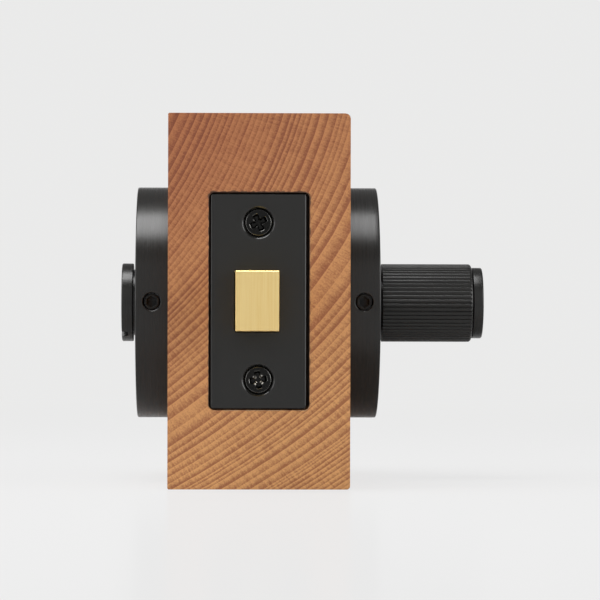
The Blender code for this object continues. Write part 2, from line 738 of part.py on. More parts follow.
def build_grub_screw(name, towards_edge, black):
    """A short headless screw with a hexagon socket, its tip on the mounting plate's rim."""
    radius = GRUB_HOLE_RADIUS - SEAT_GAP
    top = ROSE_RADIUS - GRUB_SINK
    tip = MOUNT_RADIUS + SEAT_GAP
    profile = [
        (0, tip),
        (radius - GRUB_CHAMFER, tip),
        (radius, tip + GRUB_CHAMFER),
        (radius, top - GRUB_CHAMFER),
        (radius - GRUB_CHAMFER, top),
        (0, top),
    ]
    screw = make_solid(name, turned(profile, SMALL_SIDES), towards_edge, black, smooth=True)
    socket = prism(hexagon_outline(GRUB_SOCKET_FLATS), top - GRUB_SOCKET_DEPTH, top + OVERCUT)
    cut(screw, make_solid(f"cut_{name}_socket", socket, towards_edge))


def build_mount(name, side, zinc, hole_profile):
    """The plate that is bolted to the door and that the rose slides over."""
    bore = BUSH_OUTER + SEAT_GAP
    flange_seat = BUSH_FLANGE_RADIUS + SEAT_GAP
    floor = FLANGE_LOW - SEAT_GAP
    profile = [
        (bore, DOOR_FACE),
        (MOUNT_RADIUS, DOOR_FACE),
        (MOUNT_RADIUS, MOUNT_TOP),
        (flange_seat, MOUNT_TOP),
        (flange_seat, floor),
        (bore, floor),
    ]
    mount = make_solid(name, turned(profile, ROSE_SIDES), side, zinc, smooth=True)
    for index, up in enumerate((1, -1)):
        hole = make_solid(
            f"cut_{name}_{index}",
            turned(hole_profile, SMALL_SIDES),
            side,
            place=(up * BOLT_CENTRES / 2, 0, 0),
        )
        cut(mount, hole)


def build_bearing(word, collar, side, nylon, steel):
    """The flanged bush in the mounting plate, the washer over it and the clip that holds the stem in."""
    inner_end = CLIP_TOP + SEAT_GAP
    bush_profile = [
        (BUSH_INNER, inner_end),
        (BUSH_OUTER, inner_end),
        (BUSH_OUTER, FLANGE_LOW),
        (BUSH_FLANGE_RADIUS, FLANGE_LOW),
        (BUSH_FLANGE_RADIUS, MOUNT_TOP),
        (BUSH_INNER, MOUNT_TOP),
    ]
    make_solid(f"{word}_bush", turned(bush_profile, BORE_SIDES), side, nylon, smooth=True)
    washer_top = WASHER_LOW + WASHER_THICKNESS
    washer = ring(BUSH_INNER, collar - WASHER_INSET, WASHER_LOW, washer_top)
    make_solid(f"{word}_washer", washer, side, steel, smooth=True)
    start, stop = CLIP_OPENING / 2, 360 - CLIP_OPENING / 2
    outline = arc((0, 0), CLIP_OUTER, start, stop, SMALL_SIDES)
    outline += arc((0, 0), CLIP_INNER, stop, start, SMALL_SIDES)
    make_solid(f"{word}_clip", prism(outline, CLIP_TOP - CLIP_THICKNESS, CLIP_TOP), side, steel)


def stem_profile():
    """The journal that runs in the bush, with the clip's groove, from the inner end up to the collar."""
    groove_low = CLIP_TOP - CLIP_THICKNESS - SEAT_GAP
    groove_high = CLIP_TOP + SEAT_GAP
    return [
        (0, STEM_INNER_END),
        (JOURNAL_RADIUS, STEM_INNER_END),
        (JOURNAL_RADIUS, groove_low),
        (GROOVE_RADIUS, groove_low),
        (GROOVE_RADIUS, groove_high),
        (JOURNAL_RADIUS, groove_high),
        (JOURNAL_RADIUS, COLLAR_LOW),
    ]


def square_socket(name, end, side):
    outline = square_outline(SPINDLE_SIDE + 2 * SQUARE_PLAY)
    shape = prism(outline, STEM_INNER_END - OVERCUT, end)
    return make_solid(f"cut_{name}_square", shape, side)


def fluted_outline(inset):
    """One outline of the grip; towards the ends the flutes run out as the inset grows."""
    pitch = 360 / FLUTE_COUNT
    crest = pitch * FLUTE_CREST / 2
    drop = FLUTE_DEPTH * (1 - inset / TURN_END_ROUND)
    radius = TURN_RADIUS - inset
    outline = []
    for flute in range(FLUTE_COUNT):
        for turn, depth in ((-crest, 0.0), (crest, 0.0), (pitch / 2, drop)):
            angle = math.radians(flute * pitch + turn)
            outline.append(((radius - depth) * math.cos(angle), (radius - depth) * math.sin(angle)))
    return outline


def fluted_sleeve(side, black):
    """The grip: a bar cut with straight flutes and rounded over at both ends, then bored."""
    levels = []
    for x, rise in arc((0, 0), TURN_END_ROUND, 0, 90, GRIP_END_STEPS):
        levels.append((TURN_TOP - TURN_END_ROUND + rise, TURN_END_ROUND - x))
    levels = [(TURN_BASE + TURN_TOP - height, inset) for height, inset in reversed(levels)] + levels
    shape = bmesh.new()
    rings = []
    for height, inset in levels:
        points = [shape.verts.new((x, y, height)) for x, y in fluted_outline(inset)]
        rings.append([shape.edges.new(pair) for pair in zip(points, points[1:] + points[:1])])
        if height in (levels[0][0], levels[-1][0]):
            shape.faces.new(points)
    for first, second in zip(rings, rings[1:]):
        bmesh.ops.bridge_loops(shape, edges=first + second)
    sleeve = make_solid("turn_sleeve", shape, side, black, smooth=True)
    bore = rod(TURN_CORE_RADIUS + SEAT_GAP, TURN_BASE - OVERCUT, TURN_TOP + OVERCUT, BORE_SIDES)
    cut(sleeve, make_solid("cut_sleeve_bore", bore, side))


def build_thumb_turn(side, black):
    """The turned stem, the fluted sleeve over it and the cap that is screwed in to hold the sleeve."""
    profile = stem_profile() + [
        (TURN_COLLAR_RADIUS, COLLAR_LOW),
        (TURN_COLLAR_RADIUS, TURN_BASE - SEAT_GAP),
        (TURN_CORE_RADIUS, TURN_BASE - SEAT_GAP),
        (TURN_CORE_RADIUS, CORE_TOP),
        (0, CORE_TOP),
    ]
    stem = make_solid("turn_stem", turned(profile, BORE_SIDES), side, black, smooth=True)
    stud_low = CAP_BASE - CAP_STUD_LENGTH
    tapped = make_solid(
        "cut_turn_tapped", rod(CAP_STUD_RADIUS + SEAT_GAP, stud_low - SEAT_GAP, CAP_BASE), side
    )
    cut(stem, square_socket("turn", TURN_SOCKET_END, side), tapped)
    fluted_sleeve(side, black)
    cap_top = CAP_BASE + CAP_THICKNESS
    cap_profile = [
        (0, stud_low),
        (CAP_STUD_RADIUS, stud_low),
        (CAP_STUD_RADIUS, CAP_BASE),
        (CAP_RADIUS, CAP_BASE),
        *arc((CAP_RADIUS - CAP_EDGE, cap_top - CAP_EDGE), CAP_EDGE, 0, 90, CORNER_STEPS),
        (0, cap_top),
    ]
    make_solid("turn_cap", turned(cap_profile, GRIP_SIDES), side, black, smooth=True)


def build_release(side, black):
    """The outside disc, with its own stem and a slot for a coin across its face."""
    profile = stem_profile() + [
        (RELEASE_COLLAR_RADIUS, COLLAR_LOW),
        (RELEASE_COLLAR_RADIUS, RELEASE_BASE),
        (RELEASE_RADIUS, RELEASE_BASE),
        (RELEASE_RADIUS, RELEASE_TOP - RELEASE_EDGE),
        (RELEASE_RADIUS - RELEASE_EDGE, RELEASE_TOP),
        (0, RELEASE_TOP),
    ]
    release = make_solid("coin_release", turned(profile, GRIP_SIDES), side, black, smooth=True)
    length = 2 * (RELEASE_RADIUS + OVERCUT)
    slot = rounded_rectangle(length, COIN_SLOT_WIDTH, [SHARP_ARRIS] * 4)
    coin_slot = make_solid(
        "cut_coin_slot",
        prism(slot, RELEASE_TOP - COIN_SLOT_DEPTH, RELEASE_TOP + OVERCUT),
        side,
        turn=(0, 0, 90 - COIN_SLOT_ANGLE),
    )
    cut(release, square_socket("release", RELEASE_SOCKET_END, side), coin_slot)


def build_through_bolts(turn_side, release_side, zinc_steel):
    """Two machine screws from the turn's mounting plate into tapped posts in the release's."""
    under_head = THROUGH_HEAD_TOP - THROUGH_HEAD_HEIGHT
    end = -POST_OPEN_END - THREAD_ENGAGEMENT
    bolt_profile = [
        (0, end),
        (THROUGH_BOLT_RADIUS, end),
        (THROUGH_BOLT_RADIUS, under_head),
        (THROUGH_HEAD_RADIUS, THROUGH_HEAD_TOP),
        (0, THROUGH_HEAD_TOP),
    ]
    bore = THROUGH_BOLT_RADIUS + SEAT_GAP
    post_profile = [
        (bore, POST_OPEN_END),
        (POST_RADIUS, POST_OPEN_END),
        (POST_RADIUS, POST_TOP - POST_FLANGE_THICKNESS),
        (POST_FLANGE_RADIUS, POST_TOP - POST_FLANGE_THICKNESS),
        (POST_FLANGE_RADIUS, POST_TOP),
        (bore, POST_TOP),
    ]
    for up, word in ((1, "upper"), (-1, "lower")):
        place = (-up * BOLT_CENTRES / 2, 0, 0)
        bolt = make_solid(
            f"through_bolt_{word}",
            turned(bolt_profile, SMALL_SIDES),
            turn_side,
            zinc_steel,
            place,
            smooth=True,
        )
        socket = prism(
            hexagon_outline(THROUGH_SOCKET_FLATS),
            THROUGH_HEAD_TOP - THROUGH_SOCKET_DEPTH,
            THROUGH_HEAD_TOP + OVERCUT,
        )
        cut(bolt, make_solid(f"cut_through_{word}_socket", socket, turn_side, place=place))
        make_solid(
            f"tapped_post_{word}",
            turned(post_profile, SMALL_SIDES),
            release_side,
            zinc_steel,
            (up * BOLT_CENTRES / 2, 0, 0),
            smooth=True,
        )


def build_mounts(turn_side, release_side, zinc):
    head = THROUGH_HEAD_RADIUS + 2 * SEAT_GAP
    bolt_hole = THROUGH_BOLT_RADIUS + SEAT_GAP
    thickness = MOUNT_TOP - DOOR_FACE
    build_mount(
        "turn_mount",
        turn_side,
        zinc,
        countersink_profile(head, bolt_hole, MOUNT_TOP, thickness + OVERCUT),
    )
    post_hole = POST_RADIUS + SEAT_GAP
    flange_floor = POST_TOP - POST_FLANGE_THICKNESS - SEAT_GAP
    flange_hole = POST_FLANGE_RADIUS + SEAT_GAP
    build_mount(
        "release_mount",
        release_side,
        zinc,
        [
            (0, DOOR_FACE - OVERCUT),
            (post_hole, DOOR_FACE - OVERCUT),
            (post_hole, flange_floor),
            (flange_hole, flange_floor),
            (flange_hole, MOUNT_TOP + OVERCUT),
            (0, MOUNT_TOP + OVERCUT),
        ],
    )


def main():
    clear_scene()
    wood = make_material("cedar", (0.48, 0.22, 0.10), 0.6, 0.0)
    black = make_material("matt_black", (0.028, 0.028, 0.027), 0.42, 0.4)
    brass = make_material("satin_brass", (0.72, 0.53, 0.24), 0.32, 1.0)
    steel = make_material("plain_steel", (0.45, 0.45, 0.46), 0.38, 1.0)
    zinc = make_material("zinc_casting", (0.38, 0.39, 0.40), 0.5, 0.9)
    nylon = make_material("nylon", (0.72, 0.70, 0.64), 0.5, 0.0)

    middle_height = BLOCK_HEIGHT / 2
    edge_face = -BLOCK_DEPTH / 2
    edge = make_frame("edge_frame", (0, edge_face, middle_height), (90, 0, 0))
    plates = make_frame("plates_frame", (PLATE_OFFSET, 0, 0), parent=edge)
    latch = make_frame("latch_frame", (LATCH_OFFSET, 0, 0), parent=edge)
    axis_place = (0, edge_face + BACKSET, middle_height)
    turn_side = make_frame("turn_frame", axis_place, (0, 90, 0))
    release_side = make_frame("release_frame", axis_place, (0, -90, 0))
    latch_across = make_frame("latch_across_frame", (0, 0, LATCH_OFFSET), parent=turn_side)

    build_door_block(edge, plates, latch, turn_side, wood)
    build_plates(plates, latch, black, steel)
    build_plate_screws(plates, black)
    build_bolt(latch, brass, steel)
    build_latch_case(latch, latch_across, steel)
    build_detent_spring(latch_across, steel)
    build_follower(latch_across, steel)
    build_spindle(turn_side, steel)
    for word, collar, side in (
        ("turn", TURN_COLLAR_RADIUS, turn_side),
        ("release", RELEASE_COLLAR_RADIUS, release_side),
    ):
        towards_edge = build_rose(f"{word}_rose", collar, side, black)
        build_grub_screw(f"{word}_grub_screw", towards_edge, black)
        build_bearing(word, collar, side, nylon, steel)
    build_mounts(turn_side, release_side, zinc)
    build_thumb_turn(turn_side, black)
    build_release(release_side, black)
    build_through_bolts(turn_side, release_side, steel)


main()
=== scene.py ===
# %% [markdown]
# # A privacy thumb turn in a sample piece of door
#
# The solids of this set already exist at their true size. This script gives them their looks: fine
# surfaces where the light shows every facet, materials that hold the finish of each metal and of the
# wood, and a small studio to see them in. The solids keep their places, and each new surface takes
# its size from the solid that it stands for.

# %% Load the solids
import json
import math

import bmesh
import bpy
import numpy as np
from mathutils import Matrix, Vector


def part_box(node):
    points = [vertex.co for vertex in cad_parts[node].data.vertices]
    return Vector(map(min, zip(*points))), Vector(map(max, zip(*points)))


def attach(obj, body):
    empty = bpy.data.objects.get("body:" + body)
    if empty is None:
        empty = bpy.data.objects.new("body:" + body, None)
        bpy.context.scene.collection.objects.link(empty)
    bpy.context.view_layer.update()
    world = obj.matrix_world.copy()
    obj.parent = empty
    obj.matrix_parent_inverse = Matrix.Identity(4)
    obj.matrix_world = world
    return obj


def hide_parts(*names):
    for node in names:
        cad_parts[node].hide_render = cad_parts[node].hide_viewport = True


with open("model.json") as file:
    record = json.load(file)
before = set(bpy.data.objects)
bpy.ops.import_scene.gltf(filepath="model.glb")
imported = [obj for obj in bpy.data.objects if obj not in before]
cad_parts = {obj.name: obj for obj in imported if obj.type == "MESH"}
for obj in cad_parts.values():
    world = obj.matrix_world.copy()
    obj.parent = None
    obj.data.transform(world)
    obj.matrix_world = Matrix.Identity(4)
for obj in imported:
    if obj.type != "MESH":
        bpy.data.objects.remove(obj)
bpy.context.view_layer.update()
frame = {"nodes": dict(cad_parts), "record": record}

# %% [markdown]
# ## Sizes that come from the solids
#
# On the real product one drawing holds every size. Here the drawing is the set of solids, so lengths
# are measured from their boxes and not typed in again. A second list of numbers would be easier to
# write, and would be wrong as soon as a solid changed.

# %% Measure the boxes
MM = 0.001


def span(node):
    """The lowest and the highest corner of a solid, as arrays."""
    low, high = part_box(node)
    return np.array(low), np.array(high)


def middle(node):
    low, high = span(node)
    return (low + high) / 2


def radius_of(node):
    """Half the height of a round solid whose axis lies level."""
    low, high = span(node)
    return (high[2] - low[2]) / 2


TURN_AXIS = middle("turn_sleeve") * (0, 1, 1)
block_low, block_high = span("door_block")
print("turn axis at", TURN_AXIS, "block", block_low, block_high)

# %% [markdown]
# ## From arrays to a surface
#
# Turned and milled metal has smooth skins with small rounded edges. Such a skin can be modelled by
# hand, or from primitives with modifiers, but a surface worked out on a grid has exactly the points
# that its form needs: rows go along the profile and columns go round it. A piece is one or more such
# grids that share their borders, and merging the doubled points closes the seams and the poles.

# %% Grids into a piece
WELD = 1e-6
SMOOTH_BELOW = math.radians(34)


def add_object(name, mesh, material, body, nodes):
    """Puts a mesh in the scene as a piece that stands for some solids and moves with their body."""
    thing = bpy.data.objects.new(name, mesh)
    bpy.context.scene.collection.objects.link(thing)
    mesh.materials.append(material)
    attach(thing, body)
    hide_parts(*nodes)
    print(f"{name}: {len(mesh.polygons)} faces, on {body}")
    return thing


def make_piece(name, grids, material, body, nodes):
    """One mesh from grids of points, each an array of rows by columns by 3.

    Point (row, column) is number row * columns + column, and each cell of a grid is one face."""
    points, faces, first = [], [], 0
    for grid in grids:
        rows, columns = grid.shape[:2]
        number = first + np.arange(rows * columns).reshape(rows, columns)
        cells = [number[:-1, :-1], number[:-1, 1:], number[1:, 1:], number[1:, :-1]]
        points.append(grid.reshape(-1, 3))
        faces.append(np.stack(cells, axis=-1).reshape(-1, 4))
        first += rows * columns
    mesh = bpy.data.meshes.new(name)
    mesh.from_pydata(np.concatenate(points).tolist(), [], np.concatenate(faces).tolist())
    shape = bmesh.new()
    shape.from_mesh(mesh)
    bmesh.ops.remove_doubles(shape, verts=shape.verts, dist=WELD)
    bmesh.ops.recalc_face_normals(shape, faces=shape.faces)
    shape.to_mesh(mesh)
    shape.free()
    mesh.shade_smooth()
    mesh.set_sharp_from_angle(angle=SMOOTH_BELOW)
    add_object(name, mesh, material, body, nodes)


# %% [markdown]
# A turned part is a half section carried round an axis. The section's corners are broken by a small
# curve, as a maker breaks every edge, because that curve is what catches the light.

# %% Sections and turning
def eased(corners, reach, steps=4):
    """A closed section whose corners are rounded.

    The curve at a corner starts at the distance reach before it and ends at that distance after it.
    Its points are (1 - t)^2 start + 2 t (1 - t) corner + t^2 end, with t from 0 to 1."""
    corner = np.array(corners, float)
    before = np.roll(corner, 1, axis=0) - corner
    after = np.roll(corner, -1, axis=0) - corner
    length_before = np.linalg.norm(before, axis=1, keepdims=True)
    length_after = np.linalg.norm(after, axis=1, keepdims=True)
    reach = np.broadcast_to(np.array(reach, float), len(corner))[:, None]
    reach = np.minimum(reach, 0.45 * np.minimum(length_before, length_after))
    start = (corner + before / length_before * reach)[:, None]
    end = (corner + after / length_after * reach)[:, None]
    t = np.linspace(0, 1, steps + 1)[None, :, None]
    curve = (1 - t) ** 2 * start + 2 * t * (1 - t) * corner[:, None] + t**2 * end
    section = curve.reshape(-1, 2)
    return np.vstack([section, section[:1]])


def circle(columns):
    """Angles round a full turn, with the first repeated as the last."""
    return np.linspace(0, 2 * np.pi, columns + 1)


def turned(section, angles, origin=TURN_AXIS, along=(1, 0, 0), first=(0, -1, 0)):
    """A grid of points round an axis, from pairs of radius and place along it.

    point = origin + place * along + radius * (cos(angle) * first + sin(angle) * second), where second
    is square to the other two. A radius may be an array with one value for each angle."""
    along, first = np.array(along, float), np.array(first, float)
    second = np.cross(along, first)
    if np.dot(second, (0, 0, 1)) < 0:
        second = -second
    radius = np.stack([np.broadcast_to(r, angles.shape) for r, _ in section])
    place = np.stack([np.broadcast_to(p, angles.shape) for _, p in section])
    round_axis = np.cos(angles)[:, None] * first + np.sin(angles)[:, None] * second
    return np.array(origin) + place[..., None] * along + radius[..., None] * round_axis


def polygon(angles, flats, sides):
    """Radius of a regular polygon at each angle: half its width across flats over the cosine of the
    angle to the middle of the nearest side."""
    sector = 2 * np.pi / sides
    return flats / 2 / np.cos((angles + sector / 2) % sector - sector / 2)


# %% [markdown]
# ## Shader maths as plain expressions
#
# A finish is a formula of the place on the surface. Written as nodes by hand, one sum takes three
# lines, so a small class wraps a socket and lets `1 - mask` add the Math node by itself.

# %% The wire class
class Wire:
    """One output of a shader node. Arithmetic on numbers adds Math nodes to its tree."""

    def __init__(self, socket):
        self.socket = socket

    def node(self, kind, settings=None, inputs=None, output=0):
        """Any other node: its type, its settings, which are set first, and its sockets' inputs."""
        made = self.socket.id_data.nodes.new(kind)
        for name, value in (settings or {}).items():
            if name == "stops":
                self.set_stops(made.color_ramp, value)
            else:
                setattr(made, name, value)
        for name, value in (inputs or {}).items():
            self.feed(made.inputs[name], value)
        return Wire(made.outputs[output])

    @staticmethod
    def set_stops(ramp, stops):
        while len(ramp.elements) < len(stops):
            ramp.elements.new(1.0)
        for element, (place, colour) in zip(ramp.elements, stops):
            element.position = place
            element.color = (*colour, 1.0)

    @staticmethod
    def feed(socket, value):
        if isinstance(value, Wire):
            socket.id_data.links.new(value.socket, socket)
        else:
            socket.default_value = value

    def math(self, operation, *others, clamp=False):
        """A Math node of this number and any others, in this order."""
        settings = {"operation": operation, "use_clamp": clamp}
        return self.node("ShaderNodeMath", settings, dict(enumerate((self, *others))))

    def __add__(self, other):
        return self.math("ADD", other)

    __radd__ = __add__

    def __sub__(self, other):
        return self.math("SUBTRACT", other)

    def __rsub__(self, other):
        return self.node("ShaderNodeMath", {"operation": "SUBTRACT"}, {0: other, 1: self})

    def __mul__(self, other):
        return self.math("MULTIPLY", other)

    __rmul__ = __mul__

    def __truediv__(self, other):
        return self.math("DIVIDE", other)

    def hypotenuse(self, other):
        """The root of a a + b b, for the ways a and b along two axes."""
        return (self * self + other * other).math("SQRT")

    def clamped(self):
        return self.math("ADD", 0.0, clamp=True)

    def rise(self, low, high):
        """0 below low, 1 above high, and a smooth step between them."""
        limits = {"Value": self, "From Min": low, "From Max": high}
        return self.node("ShaderNodeMapRange", {"interpolation_type": "SMOOTHSTEP"}, limits)

    def fall(self, low, high):
        return 1 - self.rise(low, high)

    def mixed(self, colour_a, colour_b):
        """A colour between two others, with this wire as the factor."""
        mix = self.node("ShaderNodeMix", {"data_type": "RGBA"}, {0: self})
        node = mix.socket.node
        for index, colour in ((6, colour_a), (7, colour_b)):
            plain = colour if isinstance(colour, Wire) else (*colour, 1.0)
            self.feed(node.inputs[index], plain)
        return Wire(node.outputs[2])

    def stretched(self, x, y, z):
        """This vector with each of its parts scaled."""
        scale = {0: self, 1: (x, y, z)}
        return self.node("ShaderNodeVectorMath", {"operation": "MULTIPLY"}, scale)

    def parts(self):
        split = self.node("ShaderNodeSeparateXYZ", inputs={0: self}).socket.node
        return [Wire(output) for output in split.outputs]

    def noise(self, scale, detail=2.0, roughness=0.5):
        """Cloudy noise between 0 and 1 at this vector; scale is in clouds per metre."""
        inputs = {"Vector": self, "Scale": scale, "Detail": detail, "Roughness": roughness}
        return self.node("ShaderNodeTexNoise", inputs=inputs)

    def line_noise(self, scale, detail=2.0):
        """Noise that changes with this one number only."""
        inputs = {"W": self, "Scale": scale, "Detail": detail}
        return self.node("ShaderNodeTexNoise", {"noise_dimensions": "1D"}, inputs)

    def random(self):
        """One random number for each whole number."""
        return self.node("ShaderNodeTexWhiteNoise", {"noise_dimensions": "1D"}, {"W": self})


def new_finish(name, constants):
    """A material, its surface point in object coordinates and its shader."""
    material = bpy.data.materials.new(name)
    material.use_nodes = True
    tree = material.node_tree
    shader = tree.nodes["Principled BSDF"]
    for socket, value in constants.items():
        shader.inputs[socket].default_value = value
    point = Wire(tree.nodes.new("ShaderNodeTexCoord").outputs["Object"])
    return material, point, shader


def plug(shader, **wires):
    """Links wires to the shader's sockets, where an underscore in a name stands for a space."""
    for name, wire in wires.items():
        Wire.feed(shader.inputs[name.replace("_", " ")], wire)


def relief(height, distance):
    """The normal of a surface with small heights on it, which are the height times the distance."""
    inputs = {"Height": height, "Distance": distance, "Strength": 1.0}
    return height.node("ShaderNodeBump", inputs=inputs)


# %% [markdown]
# ## The wood
#
# The door's edge shows end grain: the growth rings of a trunk whose pith lay far above and to the
# left. In each ring pale early wood darkens slowly into late wood and then starts again at once.
# A picture of wood would only fit one face. A solid pattern, worked out from the place across the
# rings, gives rings on the end and straight grain along the sides from the same formula.
#
# The trunk wasn't round, so its rings aren't circles. With x across the block and h above its middle,
# each ring is a line where x - a h + b h h + c x h has the same value: it leans by a, bends by b, and
# c lets it lean less towards the right.
#
# A tree doesn't grow evenly, so the count of rings against that place is a bent line. A colour
# ramp holds it: its position is the place and its grey is the share of all rings so far.

# %% Growth of the tree
RING_LEAN, RING_BEND, RING_SPREAD = 0.8745, 4.76, 4.0
GROWTH = (
    (-64.0, 0), (-53.8, 3), (-46.6, 6), (-26.5, 17), (-21.4, 19), (-15.0, 23), (-6.7, 26), (-1.9, 29),
    (6.6, 32), (20.6, 35), (39.5, 42), (40.5, 43), (42.9, 44), (44.1, 45), (56.3, 49), (58.4, 51),
    (65.4, 55), (78.0, 62),
)
INNER_RING, OUTER_RING = GROWTH[0][0] * MM, GROWTH[-1][0] * MM
RING_TOTAL = GROWTH[-1][1]


def across_rings(x, z):
    """The place across the rings, in metres, on the whole a little longer than the way itself."""
    h = z - middle("door_block")[2]
    return x - h * RING_LEAN + h * h * RING_BEND + x * h * RING_SPREAD


def rings_so_far(place):
    """Rings between the first place and this one, by straight lines between the known counts."""
    position = (place - INNER_RING) / (OUTER_RING - INNER_RING)
    stops = [
        ((across * MM - INNER_RING) / (OUTER_RING - INNER_RING), (count / RING_TOTAL,) * 3)
        for across, count in GROWTH
    ]
    ramp = position.node("ShaderNodeValToRGB", {"stops": stops}, {0: position})
    return ramp * RING_TOTAL


ring_width = (OUTER_RING - INNER_RING) / RING_TOTAL / math.hypot(1, RING_LEAN)
print(f"{RING_TOTAL} rings, on average {ring_width / MM:.2f} mm wide")

# %% [markdown]
# Within a ring, the colour comes from four things: late wood, the fibres cut across, rays that run
# out from the pith, and broad blotches. Some years grow stronger late wood than others, so each ring
# draws its strength from noise, and STRONG_YEARS picks which draw. The wood reddens upwards and to
# the left, most of all in the end grain that the air has reached.
#
# The router that cut the recess tore a few pale fibres at its border. The recess's floor and walls
# are painted nearly black, as painted shade for the narrow gap round the plate, and in places
# the painted shade reaches over the border, mostly at the top. It is weaker on the bottom wall,
# which faces the light from above. All three are masks of the distance to the recess's outline,
# and deep in the door there is none.

# %% End grain and long grain
EARLY_WOOD = (0.625, 0.316, 0.117)
LATE_WOOD = (0.320, 0.118, 0.045)
RED_EARLY = (0.385, 0.130, 0.050)
RED_LATE = (0.200, 0.052, 0.022)
TORN_FIBRE = (0.72, 0.47, 0.27)
# Near black for the painted shade in the gap round the plate.
PAINTED_GAP_SHADE = (0.035, 0.016, 0.009)
WAVE = 1.0 * MM
RIPPLE = 0.35 * MM
PITH_X, PITH_Z = -0.090, 0.126
FIBRE_SIZE = 0.45 * MM
STRONG_YEARS = 3322
WEAKEST_YEAR, YEAR_SPREAD = 0.48, 0.70
REDDER_UP, REDDER_LEFT = 8.6, 6.4
RECESS_HALF = (13.3 * MM, 28.8 * MM)
RECESS_CORNER = 1.4 * MM


def outside_recess(x, z):
    """Distance outside the recess's outline, negative within it.

    With a and b the ways past the corner's centre, it is sqrt(a a + b b) - corner outside, where
    both are kept above zero, and the larger of a and b less the corner inside."""
    centre = middle("door_block")
    a = (x - centre[0]).math("ABSOLUTE") - (RECESS_HALF[0] - RECESS_CORNER)
    b = (z - centre[2]).math("ABSOLUTE") - (RECESS_HALF[1] - RECESS_CORNER)
    past_corner = a.math("MAXIMUM", 0).hypotenuse(b.math("MAXIMUM", 0))
    return past_corner + a.math("MAXIMUM", b).math("MINIMUM", 0) - RECESS_CORNER


def wood_finish():
    """Solid wood. share is how far a point lies through its ring, from 0 to 1, and late wood grows
    as a smooth step of it; shade, a weighted sum, then mixes the early and the late colour."""
    material, point, shader = new_finish("end_grain_cedar", {"IOR": 1.45})
    along_fibres = point.stretched(1.0, 0.12, 1.0)
    wander = (along_fibres.noise(24.0, 1.0) - 0.5) * WAVE
    ripple = (along_fibres.noise(210.0, 2.0) - 0.5) * RIPPLE
    x, y, z = point.parts()
    depth = y - block_low[1]
    place = across_rings(x, z) + wander + ripple
    count = rings_so_far(place) - 0.04
    share, ring = count.math("FRACT"), count.math("FLOOR")
    strength = (ring + STRONG_YEARS).random() * YEAR_SPREAD + WEAKEST_YEAR
    late = share.rise(0.10, 0.98) * share.fall(0.965, 1.0) * strength
    pale_line = share.fall(0.03, 0.14) * (ring + 0.5).random()
    cells = point.stretched(1.0, 0.02, 1.0).noise(1 / FIBRE_SIZE, 3.0, 0.65) - 0.5
    blotch = point.stretched(1.0, 0.05, 1.0).noise(260.0, 2.0) - 0.5
    turn_angle = (z - PITH_Z).math("ARCTAN2", x - PITH_X)
    ray_place = {"X": turn_angle * 0.14, "Y": y * 0.25, "Z": place * 0.08}
    ray = point.node("ShaderNodeCombineXYZ", inputs=ray_place).noise(1900.0, 2.0, 0.6) - 0.5
    cloud = point.noise(24.0, 2.0) - 0.5
    front = depth.fall(0.3 * MM, 0.6 * MM)
    redness = (z * REDDER_UP - x * REDDER_LEFT + cloud * 0.3 - 0.08).clamped() * (front * 0.4 + 0.6)
    early = redness.mixed(EARLY_WOOD, RED_EARLY)
    dark = redness.mixed(LATE_WOOD, RED_LATE)
    shade = (late * 0.92 + cells * 1.7 + ray * 1.2 + blotch * 0.5 - pale_line * 0.30 + 0.125).clamped()
    sound = shade.mixed(early, dark)
    outside = outside_recess(x, z)
    torn = outside.fall(0.02 * MM, 0.28 * MM) * (cells + blotch * 2 + 0.5).rise(0.50, 0.66) * front
    # Painted shade: the recess's floor and walls (deep), and a band along its outline (border) whose
    # edge wobbles and reaches further at the top, are darkened to stand for the shade in the gap round
    # the plate. The painted shade fades deep in the door and is weaker on the bottom wall, which faces
    # the light from above.
    deep = outside.fall(-0.05 * MM, 0.02 * MM) * depth.rise(0.4 * MM, 1.2 * MM)
    wobble = point.noise(520.0, 2.0).rise(0.34, 0.66) * (z.rise(0.074, 0.078) * 0.22 + 0.24) * MM
    border = (outside - wobble).fall(-0.05 * MM, 0.15 * MM) * 0.85
    gap_shade_share = depth.fall(8 * MM, 30 * MM) * (z.rise(0.0212, 0.0224) * 0.6 + 0.4)
    gap_shade = deep.math("MAXIMUM", border) * gap_shade_share
    plug(
        shader,
        Base_Color=gap_shade.mixed((torn * 0.5).mixed(sound, TORN_FIBRE), PAINTED_GAP_SHADE),
        Roughness=cells * 0.25 + 0.62,
        Normal=relief(late * -0.4 + cells * 1.2 + ray * 0.6, 0.05 * MM),
    )
    return material


wood = wood_finish()

# %% [markdown]
# ## The metals and the nylon
#
# The black parts are turned from metal and finished satin black. Turning leaves very fine grooves
# round the axis, which are a function of the place along the axis and of the radius alone. The
# plate and the bolt were brushed up and down instead, so their lines run along Z. A dark metallic
# base would mirror the pale floor too strongly. The finish is a thin black film, so it is a shader
# with next to no colour of its own, whose sheen is a film's few hundredths of the light.

# %% Satin black, turned and brushed
SATIN_BLACK = (0.0062, 0.0060, 0.0052)
FILM_IOR = 1.48
OXIDE_IOR = 1.33
SMOOTHER_CUTS = 0.22


